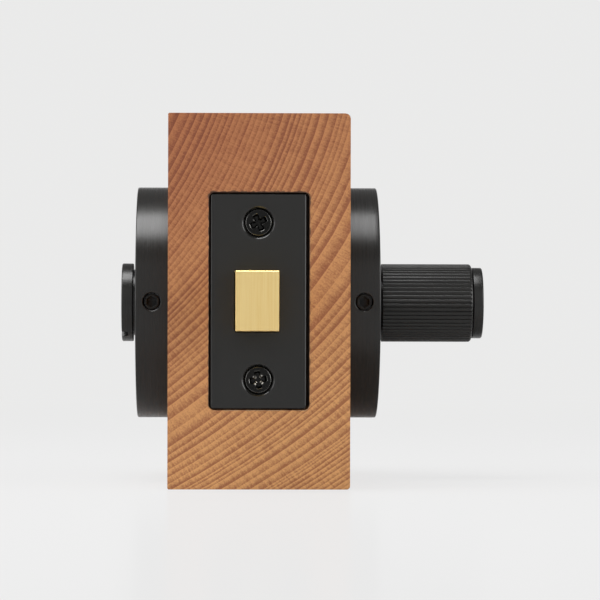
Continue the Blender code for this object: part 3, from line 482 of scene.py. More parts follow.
def black_finish(name, lines_of, roughness=0.29, front=None, film=FILM_IOR):
    """Satin black whose fine lines follow the number that lines_of makes of the surface point.

    Cuts that lie behind a brushed front, such as a chamfer, came last and are left smoother."""
    material, point, shader = new_finish(name, {"IOR": film})
    lines = lines_of(point)
    fine = lines.line_noise(9000.0, 2.0) - 0.5
    broad = lines.line_noise(700.0, 1.0) - 0.5
    grain = point.noise(5200.0, 1.0) - 0.5
    cloud = point.noise(70.0, 2.0) - 0.5
    tone = (fine * 0.25 + broad * 0.15 + cloud * 0.30 + 0.5).clamped()
    light = tuple(1.5 * part for part in SATIN_BLACK)
    dark = tuple(0.5 * part for part in SATIN_BLACK)
    if front is not None:
        behind = point.parts()[1].rise(front + 0.005 * MM, front + 0.03 * MM)
        roughness = roughness - behind * SMOOTHER_CUTS
    plug(
        shader,
        Base_Color=tone.mixed(dark, light),
        Roughness=fine * 0.10 + broad * 0.04 + cloud * 0.05 + roughness,
        Normal=relief(fine + grain, 0.003 * MM),
    )
    return material


def from_axis(point):
    """The place along the turn's axis, and the ways out from it along Y and Z."""
    x, y, z = point.parts()
    return x, y - TURN_AXIS[1], z - TURN_AXIS[2]


def lathe_lines(point):
    """Place along the axis plus distance from it: constant along each groove that a lathe leaves."""
    x, out_y, out_z = from_axis(point)
    return out_y.hypotenuse(out_z) + x


def flute_lines(point):
    """Angle about the turn's axis, as a length on the grip: constant along each flute."""
    x, out_y, out_z = from_axis(point)
    return out_z.math("ARCTAN2", out_y) * radius_of("turn_sleeve")


def upright_lines(point):
    """A number that doesn't depend on the height: constant along each brush line."""
    x, y, z = point.parts()
    return x + y * 0.37


turned_black = black_finish("turned_black", lathe_lines)
brushed_black = black_finish("brushed_black", upright_lines, 0.46, span("faceplate")[0][1])
grip_black = black_finish("grip_black", flute_lines, 0.34)

# %% [markdown]
# The screws are blackened steel. A driver that slips in a cross recess wears its four inner corners
# bright, and the lower screw has been driven more than the upper one. So the wear is a mask: a ring
# round the screw's line, kept to the corners by the square of sin(2 angle), and broken up by noise.
# Handling rubs the blackening thin on all the edges that lie just under the head's face.

# %% Blackened steel, worn bright at the corners
BARE_STEEL = (0.62, 0.60, 0.56)
BLACKENED = (0.019, 0.019, 0.0185)
RUBBED = (0.125, 0.123, 0.117)
CROSS_TURNS = {"upper": math.radians(25), "lower": math.radians(8)}
WORN_INNER, WORN_OUTER = 0.80 * MM, 1.75 * MM


def screw_finish(name, node, cross_turn, wear):
    """wear is the share of the corners that is bare, from 0 to 1."""
    material, point, shader = new_finish(name, {"Metallic": 1.0})
    x, y, z = point.parts()
    centre = middle(node)
    out_x, out_z = x - centre[0], z - centre[2]
    distance = out_x.hypotenuse(out_z)
    ring = distance.rise(WORN_INNER * 0.8, WORN_INNER) * distance.fall(WORN_OUTER * 0.8, WORN_OUTER)
    angle = out_z.math("ARCTAN2", out_x) - cross_turn
    sine = (angle * 2).math("SINE")
    corners = (sine * sine).rise(0.45, 0.85) * ring
    spots = point.noise(1300.0, 2.0, 0.7).rise(0.68 - 0.36 * wear, 0.76 - 0.36 * wear) * corners
    grain = point.noise(3500.0, 2.0) - 0.5
    depth = y - span(node)[0][1]
    rubbed = depth.rise(0.01 * MM, 0.04 * MM) * depth.fall(0.14 * MM, 0.22 * MM)
    plug(
        shader,
        Base_Color=spots.mixed(rubbed.mixed(BLACKENED, RUBBED), BARE_STEEL),
        Roughness=grain * 0.2 - spots * 0.08 + 0.26,
        Normal=relief(grain - spots * 0.5, 0.006 * MM),
    )
    return material


screw_blacks = {
    "upper": screw_finish("blackened_screw_above", "faceplate_screw_upper", CROSS_TURNS["upper"], 0.12),
    "lower": screw_finish("blackened_screw_below", "faceplate_screw_lower", CROSS_TURNS["lower"], 0.80),
}
grub_black = black_finish("grub_black", lathe_lines, 0.40, film=OXIDE_IOR)

# %% [markdown]
# The bolt is brass, brushed up and down and lacquered. Brass is brightest where brushing has left
# it open, so each line differs a little in colour as well as in roughness. The two sides are made
# rougher than the front, and their colour is painted a little darker and deeper: painted shade
# that tones down the side panels' mirror images on them.

# %% Brushed brass
PALE_BRASS = (0.960, 0.745, 0.345)
DEEP_BRASS = (0.900, 0.640, 0.250)


def brass_finish():
    material, point, shader = new_finish("brushed_brass", {"Metallic": 1.0})
    brushed = point.stretched(1.0, 1.0, 0.012)
    hair = brushed.noise(3800.0, 3.0, 0.7) - 0.5
    band = brushed.noise(900.0, 2.0) - 0.5
    cloud = point.noise(60.0, 1.0) - 0.5
    low, high = span("bolt")
    half_width = (high[0] - low[0]) / 2
    off_middle = (point.parts()[0] - middle("bolt")[0]).math("ABSOLUTE")
    # Painted shade: the sides are rougher and painted a little darker and deeper, so that they mirror
    # less of the side panels.
    side = off_middle.rise(half_width - 0.06 * MM, half_width - 0.01 * MM)
    tone = (hair * 2.4 + band * 1.1 + cloud * 0.3 - side * 0.6 + 0.66).clamped()
    plug(
        shader,
        Base_Color=tone.mixed(DEEP_BRASS, PALE_BRASS),
        Roughness=hair * 0.18 + side * 0.34 + 0.46,
        Normal=relief(hair + band * 0.3, 0.004 * MM),
    )
    return material


brass = brass_finish()

# %% [markdown]
# Inside are plain zinc-plated steel, a bare zinc casting and nylon bushes. They hardly show, but a
# user who takes the set apart will see them, so each has its own grain.

# %% Steel, zinc and nylon
def plain_finish(name, dark, light, scale, roughness, depth, constants):
    """A grained finish between two colours; scale is in grains per metre and depth is the relief's."""
    material, point, shader = new_finish(name, constants)
    grain = point.noise(scale, 3.0, 0.6) - 0.5
    cloud = point.noise(90.0, 2.0) - 0.5
    tone = (grain * 0.9 + cloud * 0.8 + 0.5).clamped()
    plug(
        shader,
        Base_Color=tone.mixed(dark, light),
        Roughness=grain * 0.15 + cloud * 0.15 + roughness,
        Normal=relief(grain, depth),
    )
    return material


METAL = {"Metallic": 1.0}
steel = plain_finish(
    "zinc_plated_steel", (0.42, 0.43, 0.46), (0.58, 0.58, 0.56), 2600.0, 0.36, 0.004 * MM, METAL
)
zinc = plain_finish(
    "zinc_casting", (0.30, 0.31, 0.33), (0.46, 0.46, 0.47), 900.0, 0.52, 0.02 * MM, METAL
)
nylon = plain_finish(
    "natural_nylon", (0.66, 0.64, 0.57), (0.76, 0.74, 0.68), 1400.0, 0.48, 0.01 * MM, {"IOR": 1.53}
)
finishes = {
    "door_wood": wood,
    "black": turned_black,
    "brass": brass,
    "steel": steel,
    "zinc": zinc,
    "nylon": nylon,
}
for row in frame["record"]["subparts"]:
    solid = frame["nodes"][row["node"]]
    solid.material_slots[0].material = finishes[row["material_slot"]]
print("finishes:", sorted(finishes))

# %% [markdown]
# ## The block and the bolt
#
# These two already have every hole and slot as solids, and a grid round all of those would only
# repeat them. So each starts from a merged copy of its solid, and a Bevel modifier breaks the
# edges that a saw or a mill leaves. The bolt is cut from drawn bar, so its sides meet the front in a
# sharp edge, and only its top and bottom are milled off at 45 degrees. Its copy is moved to that form.

# %% Copies with broken edges
BOLT_EDGE = 0.35 * MM
MILLED_EDGE = 0.25 * MM
SIDE_EDGE_SHARE = 0.15


def drawn_bar(mesh):
    """Narrows the rounded edges at the bolt's sides, and flattens those at its top and bottom.

    With the depths a and b of a point behind two outer faces, a flat edge has a + b = MILLED_EDGE, so
    both depths are scaled by MILLED_EDGE / (a + b)."""
    low, high = span("bolt")
    centre, half = (low + high) / 2, (high - low) / 2
    points = np.empty(len(mesh.vertices) * 3, np.float32)
    mesh.vertices.foreach_get("co", points)
    out = points.reshape(-1, 3).astype(float) - centre
    depth = half - np.abs(out)
    edge = depth < BOLT_EDGE * 1.02
    sideways = np.where(edge[:, 0], depth[:, 0] * SIDE_EDGE_SHARE, depth[:, 0])
    behind, below = depth[:, 1], depth[:, 2]
    curved = edge[:, 1] & edge[:, 2] & (behind + below > 1e-6)
    share = np.where(curved, MILLED_EDGE / np.maximum(behind + below, 1e-9), 1.0)
    depth = np.stack([sideways, behind * share, below * share], -1)
    moved = centre + np.sign(out) * (half - depth)
    mesh.vertices.foreach_set("co", moved.astype(np.float32).ravel())


def broken_edges(node, name, material, body, width, segments=3, reshape=None):
    mesh = frame["nodes"][node].data.copy()
    mesh.name = name
    mesh.materials.clear()
    shape = bmesh.new()
    shape.from_mesh(mesh)
    bmesh.ops.remove_doubles(shape, verts=shape.verts, dist=WELD)
    bmesh.ops.dissolve_limit(
        shape, angle_limit=math.radians(0.5), verts=shape.verts, edges=shape.edges
    )
    shape.to_mesh(mesh)
    shape.free()
    if reshape:
        reshape(mesh)
    mesh.shade_smooth()
    mesh.set_sharp_from_angle(angle=SMOOTH_BELOW)
    thing = add_object(name, mesh, material, body, [node])
    bevel = thing.modifiers.new("broken edges", "BEVEL")
    bevel.width = width
    bevel.segments = segments
    bevel.limit_method = "ANGLE"
    bevel.angle_limit = math.radians(40)
    bevel.use_clamp_overlap = True


broken_edges("door_block", "sample_block", wood, "fixed_set", 0.22 * MM)
broken_edges("bolt", "square_bolt", brass, "bolt", 0.012 * MM, 2, drawn_bar)

# %% [markdown]
# ## The roses
#
# A rose is a shallow cup turned from bar. Its rim has a tapped hole for the grub screw, and a hole
# in a curved wall is the hard part: cutting it from a fine mesh leaves ragged shading. Here the
# wall's grid leaves out a window, and rings of points lead from the window's border in to the hole.

# %% A wall with a round hole
ROSE_COLUMNS = 192
ROSE_STEP = 2 * np.pi / ROSE_COLUMNS
WINDOW_COLUMNS = 4
WINDOW_ROWS = 9
WINDOW_RINGS = 5


def border_round(across, up):
    """A rectangle's border once round, from the places of its columns and of its rows."""
    sides = [
        np.stack([across, np.full(len(across), up[0])], -1),
        np.stack([np.full(len(up), across[-1]), up], -1),
        np.stack([across[::-1], np.full(len(across), up[-1])], -1),
        np.stack([np.full(len(up), across[0]), up[::-1]], -1),
    ]
    return np.concatenate([side[:-1] for side in sides] + [sides[0][:1]])


def window_border(radius, low, high):
    """The window's border as pairs of place along X and height over the axis, once round.

    The heights are the radius times the sine of the wall's own column angles, so the two meet."""
    heights = radius * np.sin(ROSE_STEP * np.arange(-WINDOW_COLUMNS, WINDOW_COLUMNS + 1))
    return border_round(np.linspace(low, high, WINDOW_ROWS), heights)


def on_wall(flat, radius):
    """Pushes pairs of place and height onto a wall: y = axis - root of (radius^2 - height^2)."""
    place, height = flat[..., 0], flat[..., 1]
    depth = np.sqrt(radius**2 - height**2)
    return np.stack([place, TURN_AXIS[1] - depth, TURN_AXIS[2] + height], -1)


def pierced_wall(radius, low, high, hole):
    """A round wall from low to high along X, with a hole facing the door's edge.

    Gives its grids. Each ring of the window is (1 - t) border + t hole, pushed onto the wall."""
    angles = ROSE_STEP * np.arange(WINDOW_COLUMNS, ROSE_COLUMNS - WINDOW_COLUMNS + 1)
    places = np.linspace(low, high, WINDOW_ROWS)
    wall = turned([(radius, place) for place in places], angles)
    border = window_border(radius, low, high)
    t = np.linspace(0, 1, WINDOW_RINGS)[:, None, None]
    return [wall, on_wall((1 - t) * border + t * hole, radius)]


# %% Turn both roses
ROSE_EDGE = 0.40 * MM
ROSE_WALL = 4.0 * MM
ROSE_FACE_THICKNESS = 2.0 * MM
GRUB_HOLE_RADIUS = 2.5 * MM
HOLE_EDGE = 0.15 * MM
RUNNING_GAP = 0.3 * MM
COLLAR_RADII = {"turn_stem": 9.5 * MM, "coin_release": 9.3 * MM}


def make_rose(name, node, collar_node, side):
    """side is 1 for the turn's rose and -1 for the release's, which is the same seen in a mirror."""
    low, high = span(node)
    base, face = (low[0], high[0]) if side > 0 else (high[0], low[0])
    radius = radius_of(node)
    inner = radius - ROSE_WALL
    under = face - side * ROSE_FACE_THICKNESS
    hole_place = middle(node)[0]
    collar = COLLAR_RADII[collar_node] + RUNNING_GAP
    rim_low, rim_high = base + side * ROSE_EDGE / 2, face - side * ROSE_EDGE
    border = window_border(radius, rim_low, rim_high)
    direction = np.arctan2(border[:, 1], border[:, 0] - hole_place)
    round_hole = np.stack([np.cos(direction), np.sin(direction)], -1)
    middle_line = np.array([hole_place, 0.0])
    mouth = middle_line + (GRUB_HOLE_RADIUS + HOLE_EDGE) * round_hole
    bore = middle_line + GRUB_HOLE_RADIUS * round_hole
    outer_wall = pierced_wall(radius, rim_low, rim_high, mouth)
    inner_wall = pierced_wall(inner, base + side * HOLE_EDGE, under, bore)
    bore_wall = np.stack(
        [on_wall(mouth, radius), on_wall(bore, radius - HOLE_EDGE), on_wall(bore, inner)]
    )
    t = np.linspace(0, np.pi / 2, 6)
    shoulder = [
        (radius - ROSE_EDGE * (1 - np.cos(a)), rim_high + side * ROSE_EDGE * np.sin(a)) for a in t
    ]
    face_side = shoulder + [
        (collar + HOLE_EDGE, face),
        (collar, face - side * HOLE_EDGE),
        (collar, under),
        (inner, under),
    ]
    door_side = [
        (inner, base + side * HOLE_EDGE),
        (inner + HOLE_EDGE, base),
        (radius - ROSE_EDGE / 2, base),
        (radius, rim_low),
    ]
    angles = circle(ROSE_COLUMNS)
    grids = [*outer_wall, *inner_wall, bore_wall, turned(face_side, angles), turned(door_side, angles)]
    make_piece(name, grids, turned_black, "fixed_set", [node])


make_rose("rose_by_turn", "turn_rose", "turn_stem", 1)
make_rose("rose_by_release", "release_rose", "coin_release", -1)

# %% [markdown]
# ## Screws
#
# A screw is a turned part with one exception, the recess for the driver. Seen from above, both a
# hexagon and a cross are outlines with one radius for each angle, so the same turning function
# makes them when the radius is an array.

# %% Grub screws
SMALL_COLUMNS = 96
GRUB_SOCKET_FLATS = 2.5 * MM
GRUB_SOCKET_DEPTH = 1.8 * MM
GRUB_EDGE = 0.3 * MM
SOCKET_LIP = 0.08 * MM


def make_grub_screw(name, node):
    """Turned about a line towards the door's edge, so that its outer end has the greatest place."""
    low, high = span(node)
    centre = middle(node)
    origin = np.array([centre[0], 0.0, centre[2]])
    tip, top = -high[1], -low[1]
    radius = radius_of(node)
    angles = circle(SMALL_COLUMNS)
    socket = polygon(angles, GRUB_SOCKET_FLATS, 6)
    lip = socket + SOCKET_LIP
    section = [
        (0, top - GRUB_SOCKET_DEPTH - 0.4 * MM),
        (socket * 0.98, top - GRUB_SOCKET_DEPTH),
        (socket, top - 0.15 * MM),
        (lip, top - 0.03 * MM),
        (lip + 0.05 * MM, top),
        (radius - GRUB_EDGE, top),
        (radius - GRUB_EDGE / 3, top - GRUB_EDGE / 3),
        (radius, top - GRUB_EDGE),
        (radius, tip + GRUB_EDGE),
        (radius - GRUB_EDGE, tip),
        (0, tip),
    ]
    grid = turned(section, angles, origin, (0, -1, 0), (1, 0, 0))
    make_piece(name, [grid], grub_black, "fixed_set", [node])


make_grub_screw("grub_screw_by_turn", "turn_grub_screw")
make_grub_screw("grub_screw_by_release", "release_grub_screw")

# %% Faceplate screws
CROSS_HALF_SPAN = 2.25 * MM
CROSS_HALF_ARM = 0.70 * MM
CROSS_DEPTH = 1.9 * MM
CROSS_FLOOR_SHARE = 0.78
CROSS_LIP = 0.13 * MM
SHANK_RADIUS = 1.8 * MM
THREAD_PITCH = 1.6 * MM
THREAD_DEPTH = 0.5 * MM
THREAD_START = 5.0 * MM
POINT_LENGTH = 4.0 * MM


def cross_radius(angles, half_span, half_arm):
    """Radius of a cross with rounded corners.

    One bar is (|cos / half_span|^p + |sin / half_arm|^p)^(-1 / p), the other has them exchanged, and
    the cross is (bar^q + other^q)^(1 / q), which is nearly the larger of the two."""
    power, join = 9.0, 16.0
    c, s = np.abs(np.cos(angles)), np.abs(np.sin(angles))
    bar = ((c / half_span) ** power + (s / half_arm) ** power) ** (-1 / power)
    other = ((s / half_span) ** power + (c / half_arm) ** power) ** (-1 / power)
    return (bar**join + other**join) ** (1 / join)


def thread(depths, angles, length):
    """Radius of the threaded shank, one row for each depth below the head.

    The ridge is a triangle wave of depth / pitch + angle / turn, and it fades in after the plain neck.
    Near the point everything shrinks by the share of the point's length that is left."""
    turn = depths[:, None] / THREAD_PITCH + angles[None, :] / (2 * np.pi)
    ridge = np.clip(1 - 3 * np.abs(turn % 1 - 0.5), 0, 1)
    fade = np.clip((depths - THREAD_START) / THREAD_PITCH, 0, 1)[:, None]
    left = np.clip((length - depths) / POINT_LENGTH, 0, 1)[:, None]
    core = SHANK_RADIUS - THREAD_DEPTH * fade
    return (core + THREAD_DEPTH * ridge * fade) * left


def make_plate_screw(name, word):
    """The section runs from the recess's floor over its worn lip and the head's broken edge, down
    the cone to the shank, and then along the thread to the point."""
    node = f"faceplate_screw_{word}"
    low, high = span(node)
    centre = middle(node)
    origin = np.array([centre[0], low[1], centre[2]])
    length = high[1] - low[1]
    head = radius_of(node)
    angles = circle(SMALL_COLUMNS)
    driver = angles - CROSS_TURNS[word]
    mouth = cross_radius(driver, CROSS_HALF_SPAN, CROSS_HALF_ARM)
    floor = mouth * CROSS_FLOOR_SHARE
    section = [
        (0, CROSS_DEPTH),
        (floor * 0.5, CROSS_DEPTH * 0.95),
        (floor, CROSS_DEPTH * 0.85),
        (mouth, CROSS_LIP * 1.7),
        (mouth + CROSS_LIP, CROSS_LIP * 0.6),
        (mouth + 2 * CROSS_LIP, 0),
        (head - 0.28 * MM, 0),
        (head - 0.24 * MM, 0.01 * MM),
        (head - 0.02 * MM, 0.17 * MM),
        (head, 0.36 * MM),
        (SHANK_RADIUS + 0.1 * MM, head - SHANK_RADIUS),
    ]
    depths = np.linspace(head - SHANK_RADIUS + 0.2 * MM, length, 150)
    section += list(zip(thread(depths, angles, length), depths))
    grid = turned(section, angles, origin, (0, 1, 0), (1, 0, 0))
    make_piece(name, [grid], screw_blacks[word], "fixed_set", [node])


make_plate_screw("plate_screw_above", "upper")
make_plate_screw("plate_screw_below", "lower")

# %% [markdown]
# ## The faceplate
#
# The plate is milled from flat bar with one window and two countersunk holes. Its front is laid out
# as three tiles, one for each opening. In a tile, rings of points go from the tile's border to its
# opening, and neighbouring tiles meet point for point.

# %% Tiles and corners
PLATE_EDGE = 0.38 * MM
PLATE_CORNER = 0.4 * MM
TILE_COLUMNS = 24
TILE_RINGS = 5
SCREW_HOLE_RADIUS = 2.1 * MM
COUNTERSINK_MOUTH = 4.3 * MM
WINDOW_PLAY = 0.3 * MM
WINDOW_CORNER = 0.35 * MM
WINDOW_LIP = 0.12 * MM

plate_low, plate_high = span("faceplate")
plate_centre = (plate_low + plate_high) / 2
plate_half = (plate_high - plate_low)[[0, 2]] / 2
bolt_low, bolt_high = span("bolt")
window_half = (bolt_high - bolt_low)[[0, 2]] / 2 + WINDOW_PLAY
window_place = ((bolt_low + bolt_high) / 2 - plate_centre)[[0, 2]]
screw_height = middle("faceplate_screw_upper")[2] - plate_centre[2]
tile_split = (window_half[1] + screw_height - COUNTERSINK_MOUTH) / 2


def steps_between(low, high):
    """Even places from low to high, a tile's column or row apart."""
    return np.linspace(low, high, TILE_COLUMNS + 1)


def with_corners(border, half, corner):
    """Pulls the points past a corner's centre onto the corner's arc, along the line from it."""
    centre = np.sign(border) * (half - corner)
    out = border - centre
    past = np.all(out * np.sign(border) > -1e-9, axis=-1, keepdims=True)
    length = np.maximum(np.linalg.norm(out, axis=-1, keepdims=True), 1e-9)
    return np.where(past, centre + out / length * corner, border)


def at_depth(flat, depth):
    """Pairs of (x, z) from the plate's middle, as points at a depth behind its front."""
    y = np.full(flat.shape[:-1], plate_low[1] + depth)
    return np.stack([plate_centre[0] + flat[..., 0], y, plate_centre[2] + flat[..., 1]], -1)


def between(border, opening):
    """Rings from a border to an opening: (1 - t) border + t opening."""
    t = np.linspace(0, 1, TILE_RINGS)[:, None, None]
    return (1 - t) * border + t * opening


# %% Openings and rim
def bolt_window(thickness):
    """The window's outline in the front and in the back, and the rings of its walls."""
    window = border_round(
        steps_between(-window_half[0], window_half[0]), steps_between(-window_half[1], window_half[1])
    )
    window = with_corners(window, window_half, WINDOW_CORNER)
    lip = window * (1 + WINDOW_LIP / window_half)
    front, back = lip + window_place, window + window_place
    walls = [at_depth(front, 0), at_depth(back, WINDOW_LIP), at_depth(back, thickness)]
    return front, back, walls


def countersunk_hole(border, height, thickness):
    """A screw's hole: centre + radius * direction, in the directions of the border's points.

    Its steps are the broken mouth, the steep wall that the screw's head sinks past, the cone that
    the head seats on, and the plain hole."""
    out = border - (0, height)
    direction = out / np.linalg.norm(out, axis=-1, keepdims=True)
    cone = COUNTERSINK_MOUTH - SCREW_HOLE_RADIUS
    steps = (
        (COUNTERSINK_MOUTH + 0.10 * MM, 0),
        (COUNTERSINK_MOUTH + 0.04 * MM, 0.03 * MM),
        (COUNTERSINK_MOUTH - 0.34 * MM, 0.34 * MM),
        (COUNTERSINK_MOUTH - 0.42 * MM, 0.55 * MM),
        (COUNTERSINK_MOUTH - 0.62 * MM, 0.95 * MM),
        (SCREW_HOLE_RADIUS, min(cone, thickness - 0.1 * MM)),
        (SCREW_HOLE_RADIUS, thickness),
    )
    rings = [(0, height) + radius * direction for radius, _ in steps]
    walls = [at_depth(ring, depth) for ring, (_, depth) in zip(rings, steps)]
    return rings[0], rings[-1], walls


def grown(border, inset, out):
    """The border moved outwards by out, with its corner arcs grown by as much."""
    half = inset + out
    return with_corners(border * half / inset, half, PLATE_CORNER - PLATE_EDGE + out)


def plate_rim(inset, thickness):
    """The band round the plate's edge, broken by a narrow slope on its front and its back.

    Each step of the slope is a share of the plate's edge outwards and a share of it in depth."""
    up = [
        steps_between(-inset[1], -tile_split)[:-1],
        steps_between(-tile_split, tile_split)[:-1],
        steps_between(tile_split, inset[1]),
    ]
    border = border_round(steps_between(-inset[0], inset[0]), np.concatenate(up))
    slope = ((0, 0), (0.06, 0.01), (0.92, 0.60), (1, 0.76))
    front = [(PLATE_EDGE * out, PLATE_EDGE * depth) for out, depth in slope]
    back = [(out, thickness - depth) for out, depth in reversed(front)]
    return np.stack([at_depth(grown(border, inset, out), depth) for out, depth in front + back])


# %% The plate
def make_faceplate():
    thickness = plate_high[1] - plate_low[1]
    inset = plate_half - PLATE_EDGE
    tiles = (
        (-inset[1], -tile_split, -screw_height),
        (-tile_split, tile_split, None),
        (tile_split, inset[1], screw_height),
    )
    grids = []
    for low, high, hole_height in tiles:
        border = border_round(steps_between(-inset[0], inset[0]), steps_between(low, high))
        rounded = with_corners(border, inset, PLATE_CORNER - PLATE_EDGE)
        if hole_height is None:
            front, back, walls = bolt_window(thickness)
        else:
            front, back, walls = countersunk_hole(border, hole_height, thickness)
        grids.append(at_depth(between(rounded, front), 0))
        grids.append(at_depth(between(rounded, back), thickness))
        grids.append(np.stack(walls))
    grids.append(plate_rim(inset, thickness))
    make_piece("black_faceplate", grids, brushed_black, "fixed_set", ["faceplate"])


make_faceplate()

# %% [markdown]
# ## The fluted grip
#
# The grip is a sleeve: a bar rounded over at its ends, then cut with straight flutes, then bored.
# Modelling one flute and repeating it leaves seams. As a surface it is two cuts on one bar, and
# what is left of the bar is the smaller of the two radii.

# %% The sleeve
FLUTE_COUNT = 56
FLUTE_COLUMNS = 16
FLUTE_DEPTH = 0.29 * MM
FLUTE_CREST = 0.30
FLUTE_TURN = 0.37
SLEEVE_ROUND = 0.9 * MM
SLEEVE_INNER_ROUND = 0.15 * MM
SLEEVE_BORE = 7.8 * MM
SLEEVE_ROUND_ROWS = 14


def flute_radius(angles, radius):
    """The bar after the flutes: the crest keeps its share of each pitch at full radius, and the rest
    is a valley with nearly straight walls. It is lower by depth * (0.65 s + 0.35 (3 s^2 - 2 s^3)),
    with s from 0 at the crest to 1 at mid valley."""
    pitch = (angles * FLUTE_COUNT / (2 * np.pi) - FLUTE_TURN + 0.5) % 1 - 0.5
    s = np.clip((np.abs(pitch) - FLUTE_CREST / 2) / (0.5 - FLUTE_CREST / 2), 0, 1)
    return radius - FLUTE_DEPTH * (0.65 * s + 0.35 * s**2 * (3 - 2 * s))


def make_sleeve():
    low, high = span("turn_sleeve")
    radius = radius_of("turn_sleeve")
    angles = circle(FLUTE_COUNT * FLUTE_COLUMNS)
    fluted = flute_radius(angles, radius)
    t = np.linspace(0, np.pi / 2, SLEEVE_ROUND_ROWS)
    rise, run = 1 - np.sin(t), 1 - np.cos(t)
    inner_end = zip(radius - SLEEVE_INNER_ROUND * rise, low[0] + SLEEVE_INNER_ROUND * run)
    outer_end = zip(radius - SLEEVE_ROUND * rise[::-1], high[0] - SLEEVE_ROUND * run[::-1])
    section = [(SLEEVE_BORE, low[0])]
    section += [(np.minimum(r, fluted), place) for r, place in (*inner_end, *outer_end)]
    section += [(SLEEVE_BORE, high[0]), (SLEEVE_BORE, low[0])]
    make_piece("fluted_grip", [turned(section, angles)], grip_black, "turn", ["turn_sleeve"])


make_sleeve()

# %% [markdown]
# ## The stem and the cap of the turn
#
# The stem carries the sleeve and takes the square spindle. Only its collar shows, in the gap behind
# the grip, but the whole of it is turned here because the collar can't be split from it.

# %% Stem
STEM_COLUMNS = 96
STEM_EDGE = 0.15 * MM
JOURNAL_RADIUS = 6.0 * MM
GROOVE_RADIUS = 5.3 * MM
CORE_RADIUS = 7.5 * MM
SPINDLE_SOCKET = 5.3 * MM
SPINDLE_END_PLAY = 1.0 * MM
TAPPED_RADIUS = 3.3 * MM
CAP_STUD_RADIUS = 3.0 * MM


def stem_steps(inner_end, clip_low, clip_high, side):
    """The journal from its inner end up past the groove of the retaining clip."""
    return [
        (JOURNAL_RADIUS - STEM_EDGE, inner_end),
        (JOURNAL_RADIUS, inner_end + side * STEM_EDGE),
        (JOURNAL_RADIUS, clip_low - side * RUNNING_GAP),
        (GROOVE_RADIUS, clip_low - side * RUNNING_GAP),
        (GROOVE_RADIUS, clip_high + side * RUNNING_GAP),
        (JOURNAL_RADIUS, clip_high + side * RUNNING_GAP),
    ]


def make_stem():
    low, high = span("turn_stem")
    clip_low, clip_high = span("turn_clip")
    washer_high = span("turn_washer")[1][0]
    sleeve_low = span("turn_sleeve")[0][0]
    spindle_high = span("spindle")[1][0]
    cap_low = span("turn_cap")[0][0]
    collar_low = washer_high + RUNNING_GAP
    collar_high = sleeve_low - RUNNING_GAP
    socket_end = spindle_high + SPINDLE_END_PLAY
    collar = COLLAR_RADII["turn_stem"]
    angles = circle(STEM_COLUMNS)
    square = polygon(angles, SPINDLE_SOCKET, 4)
    section = [
        (0, socket_end),
        (square, socket_end),
        (square, low[0]),
        *stem_steps(low[0], clip_low[0], clip_high[0], 1),
        (JOURNAL_RADIUS, collar_low),
        (collar - STEM_EDGE, collar_low),
        (collar, collar_low + STEM_EDGE),
        (collar, collar_high - STEM_EDGE),
        (collar - STEM_EDGE, collar_high),
        (CORE_RADIUS, collar_high),
        (CORE_RADIUS, high[0] - STEM_EDGE),
        (CORE_RADIUS - STEM_EDGE, high[0]),
        (TAPPED_RADIUS, high[0]),
        (TAPPED_RADIUS, cap_low - RUNNING_GAP),
        (0, cap_low - RUNNING_GAP),
    ]
    make_piece("grip_stem", [turned(section, angles)], turned_black, "turn", ["turn_stem"])


make_stem()

# %% Cap
CAP_COLUMNS = 160
CAP_EDGE = 0.5 * MM


def make_cap():
    low, high = span("turn_cap")
    sleeve_high = span("turn_sleeve")[1][0]
    radius = radius_of("turn_cap")
    base = sleeve_high + RUNNING_GAP
    corners = [
        (0, low[0]),
        (CAP_STUD_RADIUS, low[0]),
        (CAP_STUD_RADIUS, base),
        (radius, base),
        (radius, high[0]),
        (0, high[0]),
    ]
    edges = [0, 0.3 * MM, 0, 0.12 * MM, CAP_EDGE, 0]
    section = eased(corners, edges, 6)
    grid = turned(section, circle(CAP_COLUMNS))
    make_piece("grip_cap", [grid], turned_black, "turn", ["turn_cap"])


make_cap()

# %% [markdown]
# ## The coin release
#
# A disc with a slot right across it has no single radius at an angle, so its face can't be turned.
# It is laid out in rows along the slot instead. A row keeps one distance from the slot's middle and
# one height, and it ends on the disc's rim, where the turned skin takes over with the same points.

# %% Slotted face and stem
COIN_SLOT_WIDTH = 2.0 * MM
COIN_SLOT_DEPTH = 1.8 * MM
COIN_SLOT_ANGLE = math.radians(54.5)
SLOT_LIP = 0.15 * MM
RELEASE_THICKNESS = 3.2 * MM
RELEASE_EDGE = 0.4 * MM
RELEASE_BACK_EDGE = 0.2 * MM
LAND_ROWS = 48
INNER_COLUMNS = 7
SLOT_DRAFT = 0.03 * MM


def slot_rows(radius):
    """Distance of each row from the slot's middle, and how far it lies below the disc's face.

    On the land the distances are radius * sin(angle) at even angles, so the rim's points are even."""
    half = COIN_SLOT_WIDTH / 2
    first = math.asin((half + SLOT_LIP) / radius)
    land = radius * np.sin(np.linspace(-np.pi / 2, -first, LAND_ROWS))
    t = np.linspace(0, np.pi / 2, 4)[1:]
    lip = -(half + SLOT_LIP) + SLOT_LIP * np.sin(t)
    lip_drop = SLOT_LIP * (1 - np.cos(t))
    left = np.concatenate([land, lip, [-half + SLOT_DRAFT, -half + 0.3 * MM]])
    floor = [COIN_SLOT_DEPTH - 0.1 * MM, COIN_SLOT_DEPTH]
    drop = np.concatenate([np.zeros(LAND_ROWS), lip_drop, floor])
    return np.concatenate([left, -left[::-1]]), np.concatenate([drop, drop[::-1]])


